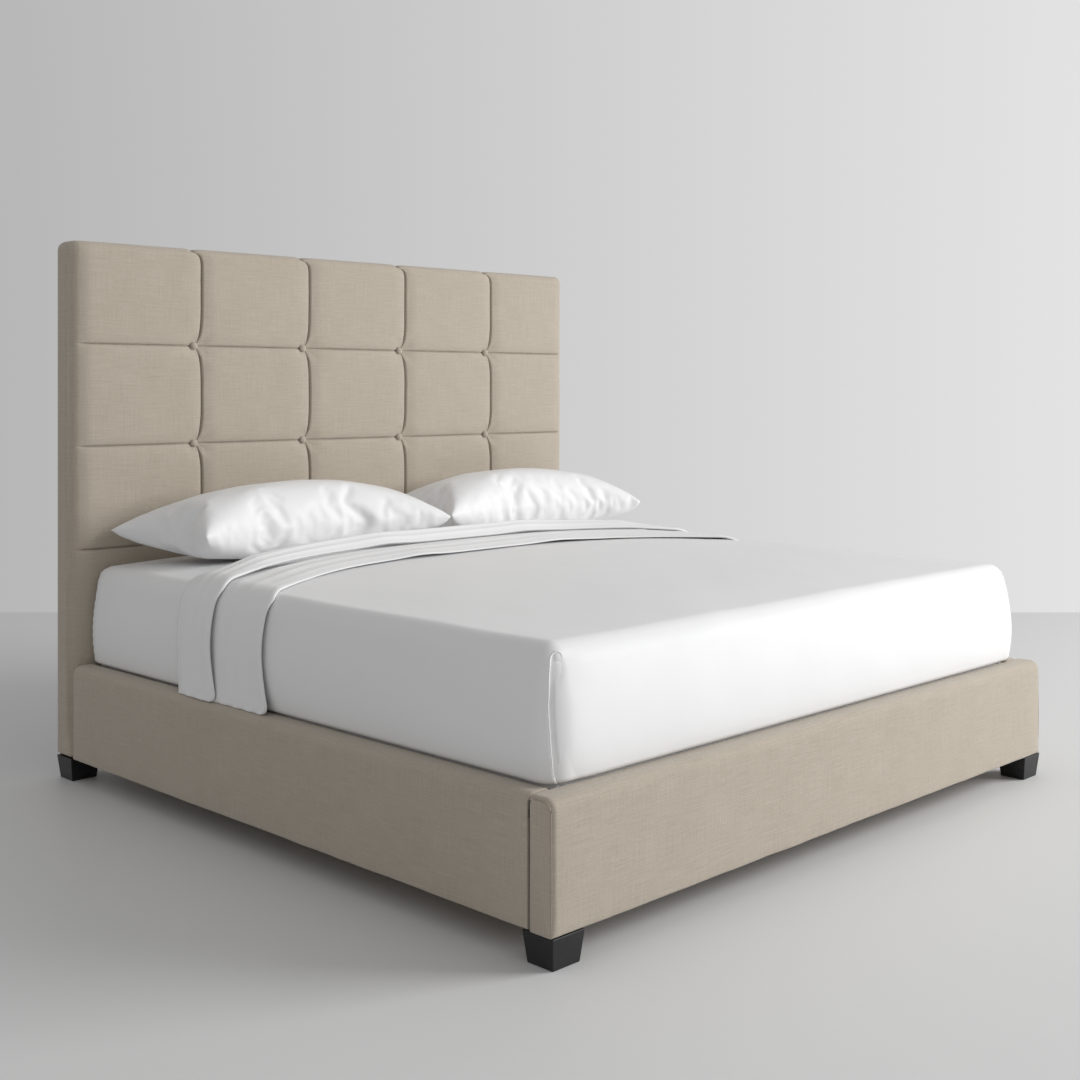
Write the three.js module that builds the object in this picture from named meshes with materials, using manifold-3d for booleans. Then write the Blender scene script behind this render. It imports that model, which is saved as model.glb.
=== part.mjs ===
// Upholstered king-size bed with a tufted headboard, as separate pieces.
// Millimetres, +Z up. X runs across the bed, Y from the foot to the head,
// and the origin lies under the middle of the bed at floor level.
import * as THREE from 'three';
import * as BufferGeometryUtils from 'three/addons/utils/BufferGeometryUtils.js';
import Module from 'manifold-3d';

// ---------- driving dimensions ----------

const GAP = 0.3; // between pieces that touch
const BED_WIDTH = 2080;
const BED_LENGTH = 2238; // front of the footboard to the back of the headboard
const FOOT_HEIGHT = 70;
const RAIL_TOP = 356;
const RAIL_DEPTH = 68; // padded side rail, outside to inside
const FOOTBOARD_DEPTH = 78;
const HEADBOARD_TOP = 1655;
const HEADBOARD_DEPTH = 120; // at its side edges, behind the tufted panels

const RAIL_BOARD = 30; // solid board inside each rail
const RAIL_INNER_PAD = 5;
const RAIL_TOP_PAD = 12;
const RAIL_UNDER_PAD = 3;
const RAIL_SKIRT = 50; // how far the cover reaches down inside the rail
const RAIL_LIP = 22; // how far it is turned in under the board
const RAIL_TOP_ROUND = 24;
const RAIL_INNER_ROUND = 14;
const RAIL_UNDER_ROUND = 8;

const TUFT_COLUMNS = 5;
const TUFT_ROWS = 3; // counted down from the top
const ALL_ROWS = 5; // the lower ones are one plain band
const CROSS_SEAM_DEPTH = 8; // the shallow horizontal seams, behind the panels' crowns
const VALLEY_DEPTH = 24; // the deep vertical seams
const COLUMN_STEPS = 6; // facets across one panel
const ROW_STEPS = 5;
const BUTTON_RADIUS = 11;
const BUTTON_HEIGHT = 9;
const DIMPLE_RADIUS = 13;
const DIMPLE_DEPTH = 26;

const COVER_FRONT = 30; // padded cover between its crowns and the foam
const COVER_SIDE = 12;
const COVER_UNDER = 3;
const COVER_BACK = 3;
const COVER_BACK_LIP = 40; // turned in behind the frame
const FOAM_DEPTH = 20;
const FACE_PANEL_DEPTH = 9;
const POST_WIDTH = 60;
const CROSS_RAIL_HEIGHT = 70;
const BACK_CLOTH_DEPTH = 1.6;
const BACK_CLOTH_MARGIN = 18;

const SLAT_TOP = 302;
const SLAT_DEPTH = 20;
const SLAT_WIDTH = 100;
const SLAT_COUNT = 11;
const SLAT_END_PLAY = 3;
const SLAT_EDGE_SPACE = 22; // clear of the footboard and the headboard
const LEDGE_WIDTH = 35;
const LEDGE_HEIGHT = 45;
const BEAM_WIDTH = 50;
const BEAM_HEIGHT = 70;
const HANGER_STEEL = 3;
const HANGER_REACH = 45;
const HANGER_EAR = 30;
const CENTRE_LEG_WIDTH = 45;
const CENTRE_LEG_SPOT = 370; // from the middle of the beam, each way
const GLIDE_RADIUS = 19;
const GLIDE_DISC = 8;
const GLIDE_STEM_RADIUS = 5;
const GLIDE_STEM_LENGTH = 66;
const GLIDE_REST_GAP = 24; // disc to the bottom of the leg
const GLIDE_BORE_RADIUS = 5.6;
const GLIDE_BORE_DEPTH = 72;

const BRACKET_STEEL = 4;
const BRACKET_ARM = 60;
const BRACKET_BOTTOM = 100;
const BRACKET_HEIGHT = 125;

const FOOT_TOP_WIDTH = 94;
const FOOT_BOTTOM_WIDTH = 78;
const REAR_FOOT_SETBACK = 7; // behind the headboard's front

const MATTRESS_WIDTH = 1930;
const MATTRESS_LENGTH = 2030;
const MATTRESS_HEIGHT = 350;
const MATTRESS_CORNER = 60;
const MATTRESS_EDGE = 26;
const MATTRESS_HEAD_SPACE = 3.4; // room for the fitted sheet against the headboard
const FITTED_SHEET = 2.4;
const TOP_SHEET = 2.6;
const FOLD_FRONT = 1150; // turned-back band, measured from the foot of the bed
const FOLD_BACK = 1640;
const FOLD_THICK = 12;
const FOLD_DROP = 362; // height of the band's lower hem

const PILLOW_WIDTH = 920;
const PILLOW_DEPTH = 430;
const PILLOW_HEIGHT = 215;
const PILLOW_LEFT_X = -400;
const PILLOW_RIGHT_X = 545;
const PILLOW_Y = 1880; // middle of the pillow, measured from the foot of the bed

// ---------- places worked out from them ----------

const HALF_WIDTH = BED_WIDTH / 2;
const FOOT_END = -BED_LENGTH / 2;
const HEAD_END = BED_LENGTH / 2;
const HEADBOARD_FRONT = HEAD_END - HEADBOARD_DEPTH;
const RAIL_HEIGHT = RAIL_TOP - FOOT_HEIGHT;
const RAIL_START = FOOT_END + FOOTBOARD_DEPTH + GAP;
const RAIL_END = HEADBOARD_FRONT - GAP;
const RAIL_LENGTH = RAIL_END - RAIL_START;
const BOARD_BOTTOM = FOOT_HEIGHT + RAIL_UNDER_PAD + GAP;
const BOARD_HEIGHT = RAIL_HEIGHT - RAIL_UNDER_PAD - RAIL_TOP_PAD - 2 * GAP;
const BOARD_INNER_X = HALF_WIDTH - RAIL_DEPTH + RAIL_INNER_PAD;
const FOOTBOARD_INNER_Y = FOOT_END + FOOTBOARD_DEPTH - RAIL_INNER_PAD;
const SLAT_BOTTOM = SLAT_TOP - SLAT_DEPTH;
const LEDGE_TOP = SLAT_BOTTOM - GAP;
const BEAM_START = FOOTBOARD_INNER_Y + HANGER_STEEL + 2 * GAP;
const BEAM_END = HEADBOARD_FRONT - HANGER_STEEL - 2 * GAP;
const BEAM_BOTTOM = LEDGE_TOP - BEAM_HEIGHT;
const ROW_HEIGHT = (HEADBOARD_TOP - FOOT_HEIGHT) / ALL_ROWS;
const COLUMN_WIDTH = BED_WIDTH / TUFT_COLUMNS;
const TUFT_BOTTOM = HEADBOARD_TOP - TUFT_ROWS * ROW_HEIGHT;
const FOAM_FRONT = HEADBOARD_FRONT + COVER_FRONT;
const FACE_PANEL_FRONT = FOAM_FRONT + FOAM_DEPTH;
const FRAME_FRONT = FACE_PANEL_FRONT + FACE_PANEL_DEPTH;
const FRAME_BACK = HEAD_END - BACK_CLOTH_DEPTH - COVER_BACK - GAP;
const FRAME_BOTTOM = FOOT_HEIGHT + COVER_UNDER;
const FRAME_TOP = HEADBOARD_TOP - COVER_SIDE;
const FRAME_HALF = HALF_WIDTH - COVER_SIDE;
const MATTRESS_BASE = SLAT_TOP + GAP;
const MATTRESS_Y = HEADBOARD_FRONT - MATTRESS_HEAD_SPACE - MATTRESS_LENGTH / 2;
const BED_TOP = MATTRESS_BASE + MATTRESS_HEIGHT + FITTED_SHEET + TOP_SHEET + 2 * GAP;

// ---------- materials ----------

const linen = { color: 0xb9ad98, roughness: 0.9, metalness: 0 };
const blackWood = { color: 0x1c1c1d, roughness: 0.45, metalness: 0 };
const pine = { color: 0xcfae7c, roughness: 0.7, metalness: 0 };
const birch = { color: 0xd8c19a, roughness: 0.65, metalness: 0 };
const foam = { color: 0xe6dcb4, roughness: 0.95, metalness: 0 };
const blackSteel = { color: 0x2a2b2d, roughness: 0.45, metalness: 0.8 };
const dustCloth = { color: 0x161617, roughness: 0.95, metalness: 0 };
const nylon = { color: 0x202022, roughness: 0.5, metalness: 0 };
const ticking = { color: 0xe9e7e2, roughness: 0.9, metalness: 0 };
const cotton = { color: 0xf1f0ee, roughness: 0.75, metalness: 0 };

// ---------- solids ----------

const wasm = await Module();
wasm.setup();

function toSolid(geometry) {
  const bare = geometry.clone();
  bare.deleteAttribute('normal');
  bare.deleteAttribute('uv');
  const merged = BufferGeometryUtils.mergeVertices(bare, 1e-4);
  return new wasm.Manifold(new wasm.Mesh({
    numProp: 3,
    vertProperties: new Float32Array(merged.attributes.position.array),
    triVerts: new Uint32Array(merged.index.array),
  }));
}

function toGeometry(solid) {
  const { vertProperties, triVerts } = solid.getMesh();
  const geometry = new THREE.BufferGeometry();
  geometry.setAttribute('position', new THREE.BufferAttribute(vertProperties, 3));
  geometry.setIndex(new THREE.BufferAttribute(triVerts, 1));
  return geometry;
}

function cut(whole, ...tools) {
  const solid = tools.reduce((left, tool) => left.subtract(toSolid(tool)), toSolid(whole));
  return toGeometry(solid);
}

function joined(first, second) {
  return toGeometry(toSolid(first).add(toSolid(second)));
}

const bed = new THREE.Group();

function place(name, geometry, finish, x = 0, y = 0, z = 0) {
  const mesh = new THREE.Mesh(geometry, new THREE.MeshStandardMaterial(finish));
  mesh.name = name;
  mesh.position.set(x, y, z);
  bed.add(mesh);
  return mesh;
}

// A box between two corners.
function span(x0, x1, y0, y1, z0, z1) {
  const geometry = new THREE.BoxGeometry(x1 - x0, y1 - y0, z1 - z0);
  return geometry.translate((x0 + x1) / 2, (y0 + y1) / 2, (z0 + z1) / 2);
}

// A section drawn in the XY plane, pushed along +Z.
function prism(shape, length, curveSegments = 5) {
  return new THREE.ExtrudeGeometry(shape, { depth: length, bevelEnabled: false, curveSegments });
}

// ---------- rails ----------

// Outline of a padded rail: x runs from the inside of the bed outwards, y upwards.
function railOutline(depth) {
  const outline = new THREE.Shape();
  outline.moveTo(0, 0);
  outline.lineTo(depth - RAIL_UNDER_ROUND, 0);
  outline.absarc(depth - RAIL_UNDER_ROUND, RAIL_UNDER_ROUND, RAIL_UNDER_ROUND, -Math.PI / 2, 0);
  outline.absarc(depth - RAIL_TOP_ROUND, RAIL_HEIGHT - RAIL_TOP_ROUND, RAIL_TOP_ROUND, 0, Math.PI / 2);
  outline.absarc(RAIL_INNER_ROUND, RAIL_HEIGHT - RAIL_INNER_ROUND, RAIL_INNER_ROUND, Math.PI / 2, Math.PI);
  outline.closePath();
  return outline;
}

// The cover goes over its board and stops short inside the bed and underneath,
// where it is stapled. A cap closes it past each end of the board.
function railCover(depth, length, cap) {
  const boardOut = RAIL_INNER_PAD + RAIL_BOARD;
  const past = 1;
  const start = cap > 0 ? cap : -past;
  const end = cap > 0 ? length - cap : length + past;
  const pocket = span(RAIL_INNER_PAD, boardOut, RAIL_UNDER_PAD, RAIL_HEIGHT - RAIL_TOP_PAD, start, end);
  const inside = span(-past, RAIL_INNER_PAD + past, -past, RAIL_HEIGHT - RAIL_SKIRT, start, end);
  const under = span(-past, boardOut - RAIL_LIP, -past, RAIL_UNDER_PAD + past, start, end);
  return cut(prism(railOutline(depth), length), pocket, inside, under);
}

function addSideRail(side, sign) {
  const cover = railCover(RAIL_DEPTH, RAIL_LENGTH, 0);
  const outward = new THREE.Vector3(sign, 0, 0);
  const up = new THREE.Vector3(0, 0, 1);
  const along = new THREE.Vector3().crossVectors(outward, up);
  cover.applyMatrix4(new THREE.Matrix4().makeBasis(outward, up, along));
  const coverY = along.y > 0 ? RAIL_START : RAIL_END;
  place(`side_rail_cover_${side}`, cover, linen, sign * (HALF_WIDTH - RAIL_DEPTH), coverY, FOOT_HEIGHT);

  const board = new THREE.BoxGeometry(RAIL_BOARD - 2 * GAP, RAIL_LENGTH, BOARD_HEIGHT);
  const boardX = sign * (BOARD_INNER_X + RAIL_BOARD / 2);
  const middleY = (RAIL_START + RAIL_END) / 2;
  place(`side_rail_board_${side}`, board, pine, boardX, middleY, BOARD_BOTTOM + BOARD_HEIGHT / 2);

  const ledgeLength = RAIL_LENGTH - 2 * SLAT_EDGE_SPACE;
  const ledge = new THREE.BoxGeometry(LEDGE_WIDTH, ledgeLength, LEDGE_HEIGHT);
  const ledgeX = sign * (BOARD_INNER_X - LEDGE_WIDTH / 2);
  place(`slat_ledge_${side}`, ledge, pine, ledgeX, middleY, LEDGE_TOP - LEDGE_HEIGHT / 2);
}

function addFootboard() {
  const cap = RAIL_DEPTH - RAIL_INNER_PAD - RAIL_BOARD;
  const toBed = new THREE.Matrix4().makeBasis(
    new THREE.Vector3(0, -1, 0), new THREE.Vector3(0, 0, 1), new THREE.Vector3(-1, 0, 0));
  const cover = railCover(FOOTBOARD_DEPTH, BED_WIDTH, cap).applyMatrix4(toBed);
  place('footboard_cover', cover, linen, HALF_WIDTH, FOOT_END + FOOTBOARD_DEPTH, FOOT_HEIGHT);

  const length = BED_WIDTH - 2 * (cap + GAP);
  const board = new THREE.BoxGeometry(length, RAIL_BOARD - 2 * GAP, BOARD_HEIGHT);
  const boardY = FOOTBOARD_INNER_Y - RAIL_BOARD / 2;
  place('footboard_board', board, pine, 0, boardY, BOARD_BOTTOM + BOARD_HEIGHT / 2);
}

// ---------- corner brackets and feet ----------

function addBracket(name, signX, faceY, signY) {
  const corner = new THREE.Shape();
  corner.moveTo(0, 0);
  corner.lineTo(BRACKET_ARM, 0);
  corner.lineTo(BRACKET_ARM, BRACKET_STEEL);
  corner.lineTo(BRACKET_STEEL, BRACKET_STEEL);
  corner.lineTo(BRACKET_STEEL, BRACKET_ARM);
  corner.lineTo(0, BRACKET_ARM);
  corner.closePath();
  const bracket = prism(corner, BRACKET_HEIGHT);
  const backwards = signY < 0 ? 2 : 0;
  const turns = signX === signY ? backwards + 1 : backwards;
  bracket.rotateZ(turns * Math.PI / 2);
  place(name, bracket, blackSteel, signX * (BOARD_INNER_X - GAP), faceY + signY * GAP, BRACKET_BOTTOM);
}

function addBrackets() {
  addBracket('corner_bracket_front_left', -1, FOOTBOARD_INNER_Y, 1);
  addBracket('corner_bracket_front_right', 1, FOOTBOARD_INNER_Y, 1);
  addBracket('corner_bracket_rear_left', -1, HEADBOARD_FRONT, -1);
  addBracket('corner_bracket_rear_right', 1, HEADBOARD_FRONT, -1);
}

function addFoot(name, x, y) {
  const height = FOOT_HEIGHT - GAP;
  const halfDiagonal = Math.SQRT1_2;
  const foot = new THREE.CylinderGeometry(
    FOOT_TOP_WIDTH * halfDiagonal, FOOT_BOTTOM_WIDTH * halfDiagonal, height, 4);
  foot.rotateY(Math.PI / 4);
  foot.rotateX(Math.PI / 2);
  place(name, foot, blackWood, x, y, height / 2);
}

function addFeet() {
  const edge = FOOT_TOP_WIDTH / 2;
  const rearY = HEADBOARD_FRONT + REAR_FOOT_SETBACK + edge;
  addFoot('foot_front_left', -HALF_WIDTH + edge, FOOT_END + edge);
  addFoot('foot_front_right', HALF_WIDTH - edge, FOOT_END + edge);
  addFoot('foot_rear_left', -HALF_WIDTH + edge, rearY);
  addFoot('foot_rear_right', HALF_WIDTH - edge, rearY);
}

// ---------- slats and centre support ----------

function addSlats() {
  const length = 2 * (BOARD_INNER_X - SLAT_END_PLAY);
  const first = RAIL_START + SLAT_EDGE_SPACE + SLAT_WIDTH / 2;
  const last = RAIL_END - SLAT_EDGE_SPACE - SLAT_WIDTH / 2;
  for (let i = 0; i < SLAT_COUNT; i += 1) {
    const slat = new THREE.BoxGeometry(length, SLAT_WIDTH, SLAT_DEPTH);
    const y = THREE.MathUtils.lerp(first, last, i / (SLAT_COUNT - 1));
    const label = String(i + 1).padStart(2, '0');
    place(`slat_${label}`, slat, birch, 0, y, SLAT_BOTTOM + SLAT_DEPTH / 2);
  }
}

// A steel shoe: a tray under the beam's end with a back plate and two ears.
function addHanger(name, backY, signY) {
  const half = BEAM_WIDTH / 2 + GAP;
  const wall = half + HANGER_STEEL;
  const top = BEAM_HEIGHT * 0.8;
  const tray = span(-wall, wall, 0, HANGER_REACH, -HANGER_STEEL - GAP, top);
  const room = span(-half, half, HANGER_STEEL, HANGER_REACH + 1, -GAP, top + 1);
  const ears = span(-wall - HANGER_EAR, wall + HANGER_EAR, 0, HANGER_STEEL, -HANGER_STEEL - GAP, top);
  const hanger = joined(cut(tray, room), ears);
  if (signY < 0) hanger.rotateZ(Math.PI);
  place(name, hanger, blackSteel, 0, backY + signY * GAP, BEAM_BOTTOM);
}

function addCentreSupport() {
  const beam = new THREE.BoxGeometry(BEAM_WIDTH, BEAM_END - BEAM_START, BEAM_HEIGHT);
  place('centre_beam', beam, pine, 0, (BEAM_START + BEAM_END) / 2, BEAM_BOTTOM + BEAM_HEIGHT / 2);
  addHanger('beam_hanger_front', FOOTBOARD_INNER_Y, 1);
  addHanger('beam_hanger_rear', HEADBOARD_FRONT, -1);
  const middle = (BEAM_START + BEAM_END) / 2;
  addCentreLeg('front', middle - CENTRE_LEG_SPOT);
  addCentreLeg('rear', middle + CENTRE_LEG_SPOT);
}

function addCentreLeg(end, y) {
  const legBottom = GLIDE_DISC + GLIDE_REST_GAP;
  const legHeight = BEAM_BOTTOM - GAP - legBottom;
  const post = new THREE.BoxGeometry(CENTRE_LEG_WIDTH, CENTRE_LEG_WIDTH, legHeight);
  post.translate(0, 0, legHeight / 2);
  const bore = new THREE.CylinderGeometry(GLIDE_BORE_RADIUS, GLIDE_BORE_RADIUS, 2 * GLIDE_BORE_DEPTH, 16);
  bore.rotateX(Math.PI / 2);
  place(`centre_leg_${end}`, cut(post, bore), blackWood, 0, y, legBottom);

  const profile = [
    new THREE.Vector2(0, 0),
    new THREE.Vector2(GLIDE_RADIUS - 2, 0),
    new THREE.Vector2(GLIDE_RADIUS, 2),
    new THREE.Vector2(GLIDE_RADIUS - 3, GLIDE_DISC),
    new THREE.Vector2(GLIDE_STEM_RADIUS, GLIDE_DISC),
    new THREE.Vector2(GLIDE_STEM_RADIUS, GLIDE_STEM_LENGTH),
    new THREE.Vector2(0, GLIDE_STEM_LENGTH),
  ];
  const glide = new THREE.LatheGeometry(profile, 16);
  glide.rotateX(Math.PI / 2);
  place(`levelling_foot_${end}`, glide, nylon, 0, y, 0);
}

// ---------- headboard ----------

// How far the cover's front lies behind the plane of its crowns.
function coverDepth(x, z) {
  if (z < TUFT_BOTTOM - 1) return 0;
  const fold = (t) => 1 - Math.abs(2 * (t - Math.floor(t)) - 1) ** 4;
  const outerHalf = Math.abs(x) > HALF_WIDTH - COLUMN_WIDTH / 2;
  const topHalf = z > HEADBOARD_TOP - ROW_HEIGHT / 2;
  const across = outerHalf ? 1 : fold((x + HALF_WIDTH) / COLUMN_WIDTH);
  const upward = topHalf ? 1 : fold((z - FOOT_HEIGHT) / ROW_HEIGHT);
  return THREE.MathUtils.lerp(VALLEY_DEPTH, (1 - upward) * CROSS_SEAM_DEPTH, across);
}

function tuftedBlock() {
  const height = HEADBOARD_TOP - FOOT_HEIGHT;
  const depth = HEADBOARD_DEPTH - BACK_CLOTH_DEPTH - GAP;
  const block = new THREE.BoxGeometry(BED_WIDTH, depth, height,
    TUFT_COLUMNS * COLUMN_STEPS, 1, ALL_ROWS * ROW_STEPS);
  block.translate(0, HEADBOARD_FRONT + depth / 2, FOOT_HEIGHT + height / 2);
  const points = block.attributes.position;
  for (let i = 0; i < points.count; i += 1) {
    const onFront = points.getY(i) < HEADBOARD_FRONT + 1;
    if (onFront) points.setY(i, HEADBOARD_FRONT + coverDepth(points.getX(i), points.getZ(i)));
  }
  return block;
}

function buttonPlaces() {
  const places = [];
  for (let row = 1; row <= TUFT_ROWS; row += 1) {
    for (let column = 1; column < TUFT_COLUMNS; column += 1) {
      const x = column * COLUMN_WIDTH - HALF_WIDTH;
      const z = HEADBOARD_TOP - row * ROW_HEIGHT;
      places.push({ row, column, x, z });
    }
  }
  return places;
}

function addHeadboardCover() {
  const inside = span(-FRAME_HALF, FRAME_HALF, FOAM_FRONT, FRAME_BACK, FRAME_BOTTOM, FRAME_TOP);
  const lip = COVER_BACK_LIP;
  const back = span(-FRAME_HALF + lip, FRAME_HALF - lip, FRAME_BACK - 5, HEAD_END + 5,
    FRAME_BOTTOM + lip, FRAME_TOP - lip);
  const dimples = buttonPlaces().map(({ x, z }) => {
    const dimple = new THREE.CylinderGeometry(DIMPLE_RADIUS, DIMPLE_RADIUS, 60, 12);
    return dimple.translate(x, HEADBOARD_FRONT + DIMPLE_DEPTH - 30, z);
  });
  place('headboard_cover', cut(tuftedBlock(), inside, back, ...dimples), linen);
}

function buttonProfile() {
  const steps = 4;
  const rim = 2;
  const profile = [new THREE.Vector2(0, 0), new THREE.Vector2(BUTTON_RADIUS, 0)];
  for (let i = 0; i < steps; i += 1) {
    const angle = (i / steps) * (Math.PI / 2);
    const height = rim + (BUTTON_HEIGHT - rim) * Math.sin(angle);
    profile.push(new THREE.Vector2(BUTTON_RADIUS * Math.cos(angle), height));
  }
  profile.push(new THREE.Vector2(0, BUTTON_HEIGHT));
  return profile;
}

function addHeadboardButtons() {
  const y = HEADBOARD_FRONT + DIMPLE_DEPTH - GAP;
  for (const { row, column, x, z } of buttonPlaces()) {
    const button = new THREE.LatheGeometry(buttonProfile(), 12).rotateX(Math.PI);
    place(`tuft_button_${row}_${column}`, button, linen, x, y, z);
  }
}

function addHeadboardCore() {
  const left = -FRAME_HALF + GAP;
  const right = FRAME_HALF - GAP;
  const bottom = FRAME_BOTTOM + GAP;
  const top = FRAME_TOP - GAP;
  const panel = (front, depth) => span(left, right, front + GAP, front + depth, bottom, top);
  place('headboard_foam', panel(FOAM_FRONT, FOAM_DEPTH), foam);
  place('headboard_face_panel', panel(FACE_PANEL_FRONT, FACE_PANEL_DEPTH), birch);

  const front = FRAME_FRONT + GAP;
  const back = FRAME_BACK - GAP;
  place('headboard_post_left', span(left, left + POST_WIDTH, front, back, bottom, top), pine);
  place('headboard_post_right', span(right - POST_WIDTH, right, front, back, bottom, top), pine);
  const inner = right - POST_WIDTH - GAP;
  const railFrom = (z) => span(-inner, inner, front, back, z, z + CROSS_RAIL_HEIGHT);
  place('headboard_top_rail', railFrom(top - CROSS_RAIL_HEIGHT), pine);
  place('headboard_middle_rail', railFrom(TUFT_BOTTOM - CROSS_RAIL_HEIGHT / 2), pine);
  place('headboard_bottom_rail', railFrom(RAIL_TOP - 2 * CROSS_RAIL_HEIGHT), pine);
}

function addBackCloth() {
  const edge = HALF_WIDTH - BACK_CLOTH_MARGIN;
  const cloth = span(-edge, edge, HEAD_END - BACK_CLOTH_DEPTH, HEAD_END,
    FOOT_HEIGHT + BACK_CLOTH_MARGIN, HEADBOARD_TOP - BACK_CLOTH_MARGIN);
  place('headboard_back_cloth', cloth, dustCloth);
}

// ---------- bedding ----------

// A block with round upright corners and softened edges, standing on z = 0.
function softBlock(grow, height) {
  const halfX = MATTRESS_WIDTH / 2 + grow - MATTRESS_EDGE;
  const halfY = MATTRESS_LENGTH / 2 + grow - MATTRESS_EDGE;
  const r = MATTRESS_CORNER + grow - MATTRESS_EDGE;
  const plan = new THREE.Shape();
  plan.moveTo(-halfX + r, -halfY);
  plan.absarc(halfX - r, -halfY + r, r, -Math.PI / 2, 0);
  plan.absarc(halfX - r, halfY - r, r, 0, Math.PI / 2);
  plan.absarc(-halfX + r, halfY - r, r, Math.PI / 2, Math.PI);
  plan.absarc(-halfX + r, -halfY + r, r, Math.PI, 1.5 * Math.PI);
  const block = new THREE.ExtrudeGeometry(plan, {
    depth: height - 2 * MATTRESS_EDGE,
    bevelThickness: MATTRESS_EDGE,
    bevelSize: MATTRESS_EDGE,
    bevelSegments: 3,
    curveSegments: 4,
  });
  return block.translate(0, MATTRESS_Y, MATTRESS_EDGE + MATTRESS_BASE);
}

// What a sheet leaves free inside: the same block, deeper, so that it opens underneath.
function roomUnder(grow, height) {
  return softBlock(grow, height + 200).translate(0, 0, -200);
}

function keepBand(startY, endY, bottomZ) {
  return span(-HALF_WIDTH, HALF_WIDTH, startY, endY, bottomZ, BED_TOP + 100);
}

function addMattress() {
  place('mattress', softBlock(0, MATTRESS_HEIGHT), ticking);
}

function addSheets() {
  const low = MATTRESS_BASE + MATTRESS_EDGE + 4;
  const farHead = HEADBOARD_FRONT + 50;
  const fittedGrow = GAP + FITTED_SHEET;
  const fitted = toSolid(roomUnder(fittedGrow, MATTRESS_HEIGHT + fittedGrow))
    .subtract(toSolid(roomUnder(GAP, MATTRESS_HEIGHT + GAP)))
    .intersect(toSolid(keepBand(FOOT_END, farHead, low)));
  place('fitted_sheet', toGeometry(fitted), cotton);

  const innerGrow = fittedGrow + GAP;
  const topGrow = innerGrow + TOP_SHEET;
  const foldGrow = topGrow + FOLD_THICK;
  const room = toSolid(roomUnder(innerGrow, MATTRESS_HEIGHT + innerGrow));
  const sheet = toSolid(roomUnder(topGrow, MATTRESS_HEIGHT + topGrow))
    .intersect(toSolid(keepBand(FOOT_END, FOOT_END + FOLD_BACK, low)));
  const fold = toSolid(roomUnder(foldGrow, MATTRESS_HEIGHT + foldGrow))
    .intersect(toSolid(keepBand(FOOT_END + FOLD_FRONT, FOOT_END + FOLD_BACK, FOLD_DROP)));
  place('top_sheet', toGeometry(sheet.add(fold).subtract(room)), cotton);
}

// A filled pillow: a flattened ball whose outline is drawn out to four corners.
function pillowGeometry() {
  const pillow = new THREE.SphereGeometry(1, 28, 14);
  pillow.rotateX(Math.PI / 2);
  const points = pillow.attributes.position;
  const power = (value, exponent) => Math.sign(value) * Math.abs(value) ** exponent;
  for (let i = 0; i < points.count; i += 1) {
    const angle = Math.atan2(points.getY(i), points.getX(i));
    const reach = Math.hypot(points.getX(i), points.getY(i));
    const x = power(Math.cos(angle), 0.55) * reach * PILLOW_WIDTH / 2;
    const y = power(Math.sin(angle), 0.55) * reach * PILLOW_DEPTH / 2;
    points.setXYZ(i, x, y, points.getZ(i) * PILLOW_HEIGHT / 2);
  }
  return pillow;
}

function addPillows() {
  const y = FOOT_END + PILLOW_Y;
  const z = BED_TOP - TOP_SHEET + PILLOW_HEIGHT / 2;
  place('pillow_left', pillowGeometry(), cotton, PILLOW_LEFT_X, y, z);
  place('pillow_right', pillowGeometry(), cotton, PILLOW_RIGHT_X, y, z);
}

addSideRail('left', -1);
addSideRail('right', 1);
addFootboard();
addBrackets();
addFeet();
addSlats();
addCentreSupport();
addHeadboardCover();
addHeadboardButtons();
addHeadboardCore();
addBackCloth();
addMattress();
addSheets();
addPillows();

export default bed;
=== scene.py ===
"""Looks for an upholstered king-size bed with a tufted headboard.

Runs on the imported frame: metres, +Z up, X across the bed, Y from the foot to
the head, with the origin on the floor under the middle of the bed.
"""

import math

import bpy
import numpy as np
from bpy.props import FloatProperty, FloatVectorProperty, IntProperty, PointerProperty
from mathutils.bvhtree import BVHTree
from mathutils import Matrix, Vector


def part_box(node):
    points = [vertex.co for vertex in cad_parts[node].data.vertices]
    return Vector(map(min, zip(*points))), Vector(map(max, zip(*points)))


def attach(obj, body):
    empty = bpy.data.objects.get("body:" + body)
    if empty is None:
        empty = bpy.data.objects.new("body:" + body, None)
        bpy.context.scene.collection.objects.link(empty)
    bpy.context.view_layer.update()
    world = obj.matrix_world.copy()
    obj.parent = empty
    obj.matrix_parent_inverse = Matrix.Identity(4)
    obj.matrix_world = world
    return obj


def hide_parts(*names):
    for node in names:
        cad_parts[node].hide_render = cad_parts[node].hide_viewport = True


bl_info = {
    "name": "Upholstered bed",
    "version": (1, 0, 0),
    "blender": (4, 5, 0),
    "location": "View3D > Sidebar > Bed",
    "description": "Builds the looks of an upholstered bed on its packed frame",
    "category": "Object",
}

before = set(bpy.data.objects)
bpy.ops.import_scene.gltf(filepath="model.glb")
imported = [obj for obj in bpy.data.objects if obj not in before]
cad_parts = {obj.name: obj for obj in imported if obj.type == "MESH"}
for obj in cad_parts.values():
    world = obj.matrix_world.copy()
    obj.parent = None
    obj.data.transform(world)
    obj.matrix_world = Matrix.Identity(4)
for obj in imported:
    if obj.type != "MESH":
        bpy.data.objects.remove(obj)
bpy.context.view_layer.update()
MM = 0.001

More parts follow.
